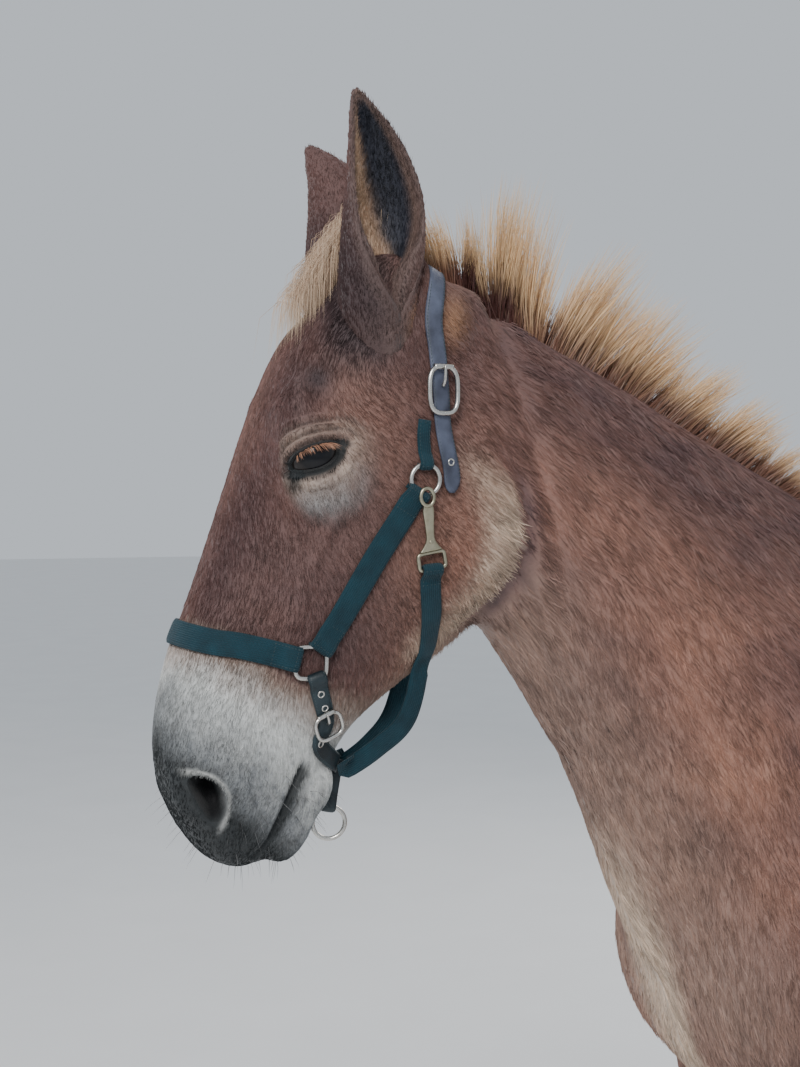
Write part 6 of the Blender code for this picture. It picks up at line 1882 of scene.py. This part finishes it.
# %% Snap, throat straps, buckles and lead ring
def flat_bar(name, path, half_widths, half_thick, normal, sides=20):
    """A closed flat bar with rounded edges along a straight path."""
    rows = smooth_rows([tuple(place) + (half,) for place, half in zip(path, half_widths)], 7)
    tangent = unit(np.gradient(rows[:, :3], axis=0))
    across = unit(np.cross(tangent, np.array(normal)))
    out = np.cross(across, tangent)
    turns = 2 * math.pi * np.arange(sides) / sides
    x = np.sign(np.cos(turns)) * np.abs(np.cos(turns)) ** 0.6
    y = np.sign(np.sin(turns)) * np.abs(np.sin(turns)) ** 0.6
    points = rows[:, None, :3] + across[:, None] * (x[None] * rows[:, 3:])[..., None]
    points = points + out[:, None] * (y * half_thick)[None, :, None]
    return outwards(array_mesh(name, *tube(points, (rows[0, :3], rows[-1, :3]))))


ring = rings[-1]
top = raised(ring, WIRE_LIFT + WIRE + 0.0026) + head_direction(1, -0.35, 0) * (RING_RADIUS + 0.0015)
bottom = raised(touch_head(0.243, -0.094), 0.0060)
along_snap = (bottom - top).normalized()
slot_centre = bottom - along_snap * 0.0085
waist = [top.lerp(slot_centre, t) for t in (0.13, 0.20, 0.34, 0.50, 0.66, 0.76, 0.84)]
snap_parts = [
    wire_ring("snap eye", top, ring[1], along_snap, 0.0068, 0.0085, wire=0.0019),
    wire_ring("snap slot", slot_centre, ring[1], along_snap, 0.0140, 0.0082, 6.0, wire=0.0021),
    flat_bar("snap body", waist, [0.0046, 0.0058, 0.0053, 0.0045, 0.0046, 0.0078, 0.0120], 0.0018, ring[1]),
]
rivet_place = top.lerp(slot_centre, 0.70) + ring[1] * 0.0017
rivet_path = [rivet_place, rivet_place + ring[1] * 0.0006, rivet_place + ring[1] * 0.0010]
snap_parts.append(rod("snap rivet", rivet_path, [0.0020, 0.0017, 0.0006], 16))
snap = joined("snap_metal", snap_parts)
ring_tree = tree_of(bpy.data.objects["halter_ring_left_metal"])
moved = lift_clear(snap, [head_tree, crown_tree, ring_tree], ring[1])
slot_bar = WIRES["snap slot"] + np.array(moved)
brass, brass_tree, brass_shader = plain_material("aged brass", 0.32, metallic=1.0)
toned(brass_tree, brass_shader, noise_of(brass_tree, 150.0, 5.0), (0.25, 0.22, 0.14), (0.55, 0.52, 0.40))
worn(brass_tree, brass_shader, 300.0, 0.22, 0.48)
dress(snap, brass)
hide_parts("halter_snap")
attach(snap, "root")

for side, word in ((-1, "left"), (1, "right")):
    if side < 0:
        first = (slot_centre + moved - ring[1] * 0.004, ring[1])
        path, ends = [first, *side_path(THROAT_PATH, side)], (slot_bar, None)
    else:
        path = [rings[1], *side_path([(0.215, -0.080)] + THROAT_PATH, side)]
        ends = (bars["ring", 1], None)
    for along, front, out in THROAT_FREE:
        path.append((head_point(along, front, side * out), head_direction(0, -0.15, side)))
    path.append((chin_middle[0] + Vector((0.010, side * 0.0042, 0.002)), head_direction(0, -0.15, side)))
    throat = band(f"halter_throat_{word}_web", path, 0.021, [head_tree, chin_tree], ends)
    dress(throat, webbing)
    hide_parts(f"halter_throat_{word}")


def buckle(name, node, place, upwards, half_width, half_height, wire, trees):
    """A frame with its tongue and roller."""
    normal = place[1]
    up = (upwards - normal * upwards.dot(normal)).normalized()
    across = up.cross(normal)
    frame_ring = wire_ring(name, raised(place, wire), normal, up, half_width, half_height, 3.2, wire)
    centre = raised(place, wire) + lift_clear(frame_ring, trees, normal)
    top, bottom = centre + up * half_height, centre - up * half_height
    over = normal * (wire + 0.0011)
    tongue_path = [
        centre + up * half_height * 0.18 - normal * 0.0012, centre + up * half_height * 0.42 + over * 0.7,
        top + over * 1.1 - up * 0.004, top + over * 1.15 + up * 0.0012,
    ]
    tongue = rod("tongue", tongue_path, [0.0018, 0.0017, 0.0014, 0.0009])
    wide = half_width * 0.66
    roller = rod("roller", [top - across * wide, top, top + across * wide], [wire + 0.0005] * 3, 20)
    made = joined(name, [frame_ring, tongue, roller])
    dress(made, nickel)
    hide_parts(node)
    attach(made, "root")


buckle("crown_buckle_metal", "halter_crown_buckle", touch_head(0.079, -0.042), head_direction(-1, 0.35, 0),
       0.0155, 0.0225, WIRE, [head_tree, crown_tree])
buckle("chin_buckle_metal", "halter_chin_buckle", touch_head(0.420, -0.053), head_direction(-1, 0.9, 0),
       0.0145, 0.0125, 0.0020, [head_tree, chin_tree])
down = Vector((0.0, 0.0, -1.0))
LEAD_RADIUS = 0.0165
lead_centre = chin_middle[0] + down * LEAD_RADIUS
lead_ring = wire_ring("lead_ring_metal", lead_centre, Vector((0.15, 1.0, 0.0)), down, LEAD_RADIUS, LEAD_RADIUS)
lift_clear(lead_ring, [head_tree, chin_tree], down)
dress(lead_ring, nickel)
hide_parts("halter_lead_ring")
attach(lead_ring, "root")
lead_bar = WIRES["lead_ring_metal"]
lead_top = Vector(lead_bar[lead_bar[:, 2].argmax()])
chin_rows = STRAPS["halter_chin_leather"][0]
above = Vector(chin_rows[len(chin_rows) // 2])
forward = Vector((-0.15, -1.0, 0.0)).normalized()
hang = [(above + Vector((0, 0, 0.004)), forward), (above.lerp(lead_top, 0.5), forward),
        (lead_top - Vector((0, 0, 0.003)), forward)]
hanger = band("halter_ring_hanger", hang, 0.015, [], (None, lead_bar), back=0.018, step=0.003)
dress(hanger, dark_leather)
print("lead ring hangs", round(1000 * (above - lead_top).length), "mm under the chin strap")

# %% [markdown]
# Stitches and eyelets repeat along the straps, so Geometry Nodes make them. One tree turns lines on the
# straps into rows of short threads, and another sets a ring of metal on each marked point. Both take their
# sizes as named inputs, realize what they place, and are turned into plain meshes.

# %% Node trees for stitches and eyelets
def new_tree(name, inputs):
    tree = bpy.data.node_groups.new(name, "GeometryNodeTree")
    tree.interface.new_socket(name="Geometry", in_out="INPUT", socket_type="NodeSocketGeometry")
    for label, kind, value in inputs:
        socket = tree.interface.new_socket(name=label, in_out="INPUT", socket_type=kind)
        if value is not None:
            socket.default_value = value
    tree.interface.new_socket(name="Geometry", in_out="OUTPUT", socket_type="NodeSocketGeometry")
    return tree, tree.nodes.new("NodeGroupInput"), tree.nodes.new("NodeGroupOutput")


def join_nodes(tree, links):
    """Each link is a node and its output, then a node and its input."""
    for giver, output, taker, entry in links:
        tree.links.new(giver.outputs[output], taker.inputs[entry])


def finish_tree(tree, source, target, place):
    real = tree.nodes.new("GeometryNodeRealizeInstances")
    paint_node = tree.nodes.new("GeometryNodeSetMaterial")
    join_nodes(tree, [
        (place, "Instances", real, "Geometry"), (real, "Geometry", paint_node, "Geometry"),
        (source, "Material", paint_node, "Material"), (paint_node, "Geometry", target, "Geometry"),
    ])


def stitch_tree():
    tree, source, target = new_tree("rows of stitches", [
        ("Spacing", "NodeSocketFloat", 0.0034), ("Stitch Length", "NodeSocketFloat", 0.0026),
        ("Thread", "NodeSocketFloat", 0.0004), ("Material", "NodeSocketMaterial", None),
    ])
    curve = tree.nodes.new("GeometryNodeMeshToCurve")
    even = tree.nodes.new("GeometryNodeResampleCurve")
    even.mode = "LENGTH"
    ball = tree.nodes.new("GeometryNodeMeshIcoSphere")
    ball.inputs["Subdivisions"].default_value = 1
    ball.inputs["Radius"].default_value = 1.0
    size = tree.nodes.new("ShaderNodeCombineXYZ")
    half = tree.nodes.new("ShaderNodeMath")
    half.operation = "MULTIPLY"
    half.inputs[1].default_value = 0.5
    tangent = tree.nodes.new("GeometryNodeInputTangent")
    turn = tree.nodes.new("FunctionNodeAlignRotationToVector")
    turn.axis = "X"
    place = tree.nodes.new("GeometryNodeInstanceOnPoints")
    join_nodes(tree, [
        (source, "Geometry", curve, "Mesh"), (curve, "Curve", even, "Curve"), (source, "Spacing", even, "Length"),
        (source, "Stitch Length", half, 0), (half, "Value", size, "X"), (source, "Thread", size, "Y"),
        (source, "Thread", size, "Z"), (tangent, "Tangent", turn, "Vector"), (even, "Curve", place, "Points"),
        (ball, "Mesh", place, "Instance"), (turn, "Rotation", place, "Rotation"), (size, "Vector", place, "Scale"),
    ])
    finish_tree(tree, source, target, place)
    return tree


def eyelet_tree():
    tree, source, target = new_tree("eyelets", [
        ("Radius", "NodeSocketFloat", 0.0030), ("Wire", "NodeSocketFloat", 0.0008),
        ("Material", "NodeSocketMaterial", None),
    ])
    ring = tree.nodes.new("GeometryNodeCurvePrimitiveCircle")
    ring.inputs["Resolution"].default_value = 20
    wire = tree.nodes.new("GeometryNodeCurvePrimitiveCircle")
    wire.inputs["Resolution"].default_value = 8
    sweep = tree.nodes.new("GeometryNodeCurveToMesh")
    facing = tree.nodes.new("GeometryNodeInputNamedAttribute")
    facing.data_type = "FLOAT_VECTOR"
    facing.inputs["Name"].default_value = "Facing"
    turn = tree.nodes.new("FunctionNodeAlignRotationToVector")
    turn.axis = "Z"
    place = tree.nodes.new("GeometryNodeInstanceOnPoints")
    join_nodes(tree, [
        (source, "Radius", ring, "Radius"), (source, "Wire", wire, "Radius"), (ring, "Curve", sweep, "Curve"),
        (wire, "Curve", sweep, "Profile Curve"), (facing, "Attribute", turn, "Vector"),
        (source, "Geometry", place, "Points"), (sweep, "Mesh", place, "Instance"),
        (turn, "Rotation", place, "Rotation"),
    ])
    finish_tree(tree, source, target, place)
    return tree


def made_by_nodes(thing, tree, values):
    """Sets the tree's inputs by their identifiers, and keeps the result as a plain mesh."""
    change = thing.modifiers.new("nodes", "NODES")
    change.node_group = tree
    for socket in tree.interface.items_tree:
        if socket.in_out == "INPUT" and socket.name in values:
            change[socket.identifier] = values[socket.name]
    thing.update_tag()
    applied(thing)
    return thing


stitches_tree, eyelets_tree = stitch_tree(), eyelet_tree()
print("node trees:", stitches_tree.name, "and", eyelets_tree.name)

# %% Stitches and eyelets
def stitch_line(name, start, end, aside, step=0.004):
    """Places of a line of stitches along a strap."""
    count = max(2, round((end - start) / step) + 1)
    return [on_strap(name, at, aside, 0.0002)[0] for at in np.linspace(start, end, count)]


def box_of_stitches(name, start, end, half):
    """A sewn box across a strap, as holds a folded end."""
    sides = [stitch_line(name, start, end, half), stitch_line(name, start, end, -half)]
    for at in (start, end):
        sides.append([on_strap(name, at, aside, 0.0002)[0] for aside in np.linspace(-half, half, 5)])
    return sides


lines = []
for name in ("halter_noseband_web", "halter_cheek_left_web", "halter_cheek_right_web"):
    total = float(STRAPS[name][4][-1])
    for start, end in ((0.020, 0.044), (total - 0.044, total - 0.020)):
        lines += box_of_stitches(name, start, end, 0.0098)
for name in ("halter_throat_left_web", "halter_throat_right_web"):
    lines += box_of_stitches(name, 0.020, 0.040, 0.0080)
lines += box_of_stitches("halter_tab_web", 0.018, float(STRAPS["halter_tab_web"][4][-1]) - 0.003, 0.0050)
leather_lines = []
for name in ("halter_crown_leather", "halter_chin_leather"):
    total = float(STRAPS[name][4][-1])
    for aside in (-0.0075, 0.0075):
        leather_lines.append(stitch_line(name, 0.016, total - 0.018, aside))


def stitches(name, rows, material):
    points, edges = [], []
    for row in rows:
        edges += [(len(points) + k, len(points) + k + 1) for k in range(len(row) - 1)]
        points += row
    mesh = bpy.data.meshes.new(name)
    mesh.from_pydata([tuple(point) for point in points], edges, [])
    made = shown(name, mesh)
    made_by_nodes(made, stitches_tree, {
        "Spacing": 0.0034, "Stitch Length": 0.0027, "Thread": 0.00042, "Material": material,
    })
    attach(made, "root")
    return made


web_stitches = stitches("webbing_stitches", lines, thread_material)
leather_stitches = stitches("leather_stitches", leather_lines, thread_material)
EYELETS = {"halter_crown_leather": (0.030,), "halter_chin_leather": (0.040, 0.056, 0.095)}  # places along
marks = [on_strap(name, at) for name, places_along in EYELETS.items() for at in places_along]
mesh = bpy.data.meshes.new("eyelets")
mesh.from_pydata([tuple(place) for place, _ in marks], [], [])
facing = mesh.attributes.new("Facing", "FLOAT_VECTOR", "POINT")
facing.data.foreach_set("vector", np.array([out for _, out in marks], dtype=np.float32).ravel())
eyelets = shown("eyelets", mesh)
made_by_nodes(eyelets, eyelets_tree, {"Radius": 0.0030, "Wire": 0.0009, "Material": nickel})
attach(eyelets, "root")
print("stitches:", len(web_stitches.data.polygons) // 20 + len(leather_stitches.data.polygons) // 20,
      "and eyelets:", len(marks))

# %% [markdown]
# The view stands a metre and a half to the mule's left and a little ahead of its nose, at the height of its
# eye, and looks back towards the shoulder. A pale floor and large soft lamps show the coat's relief without
# hard shadows.

# %% Camera, floor and light
CAMERA_BEFORE_CENTRING = Vector((-1.37, -1.55, 1.62))
CAMERA_YAW = math.radians(18.0)
IMAGE_ROWS = 1067.0
FOCUS_ROWS = 1602.0  # the focal length, in rows of the image
LEVEL_ROW = 475.0  # where a level view meets the image
SENSOR = 36.0  # millimetres
CAMERA_DOWN = math.atan((IMAGE_ROWS / 2 - LEVEL_ROW) / FOCUS_ROWS)

camera_data = bpy.data.cameras.new("camera")
camera_data.sensor_fit = "AUTO"
camera_data.sensor_width = SENSOR
camera_data.lens = SENSOR * FOCUS_ROWS / IMAGE_ROWS
camera = shown("camera", camera_data)
level = math.cos(CAMERA_DOWN)
view_way = Vector((math.sin(CAMERA_YAW) * level, math.cos(CAMERA_YAW) * level, -math.sin(CAMERA_DOWN)))
camera.location = CAMERA_BEFORE_CENTRING + POLL - UNCENTRED_POLL
camera.rotation_euler = view_way.to_track_quat("-Z", "Y").to_euler()
bpy.context.scene.camera = camera

floor_corners = [(-30, -30, 0), (30, -30, 0), (30, 30, 0), (-30, 30, 0)]
floor = array_mesh("floor", floor_corners, [(0, 1, 2, 3)], smooth=False)
floor_material, floor_tree, floor_shader = plain_material("pale floor", 0.75)
tint = floor_tree.nodes.new("ShaderNodeMix")
tint.data_type = "RGBA"
tint.inputs["A"].default_value = (0.77, 0.77, 0.77, 1.0)
tint.inputs["B"].default_value = (0.83, 0.83, 0.83, 1.0)
floor_tree.links.new(noise_of(floor_tree, 3.0), tint.inputs["Factor"])
floor_tree.links.new(tint.outputs["Result"], floor_shader.inputs["Base Color"])
dress(floor, floor_material)


def soft_lamp(name, place, target, size, power, tone=(1.0, 1.0, 1.0)):
    lamp_data = bpy.data.lights.new(name, "AREA")
    lamp_data.shape = "DISK"
    lamp_data.size = size
    lamp_data.energy = power
    lamp_data.color = tone
    lamp = shown(name, lamp_data)
    lamp.location = place
    lamp.rotation_euler = (Vector(target) - Vector(place)).to_track_quat("-Z", "Y").to_euler()


soft_lamp("key lamp", (-2.6, -3.2, 3.9), (-0.6, 0.0, 1.4), 1.8, 145.0, (1.0, 0.975, 0.95))
soft_lamp("fill lamp", (-4.0, 1.5, 2.0), (-0.7, 0.0, 1.4), 3.0, 25.0, (0.92, 0.96, 1.0))
soft_lamp("rim lamp", (3.4, 3.4, 4.2), (-0.3, 0.0, 1.4), 3.0, 150.0, (1.0, 0.97, 0.93))
world = bpy.data.worlds.new("pale room")
world.use_nodes = True
world.node_tree.nodes["Background"].inputs["Color"].default_value = (0.80, 0.86, 0.93, 1.0)
world.node_tree.nodes["Background"].inputs["Strength"].default_value = 0.74
bpy.context.scene.world = world
print("camera at", tuple(round(v, 3) for v in camera.location), "lens", round(camera_data.lens, 2), "mm")

# %% Sizes and finish
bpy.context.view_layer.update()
pieces = [thing for thing in bpy.data.objects if thing.type == "MESH" and not thing.hide_render]
counts = {thing.name: len(triangles_of(thing)) for thing in pieces}
largest = sorted(counts.items(), key=lambda pair: -pair[1])[:16]
print("most triangles:", largest, "in all", sum(counts.values()))
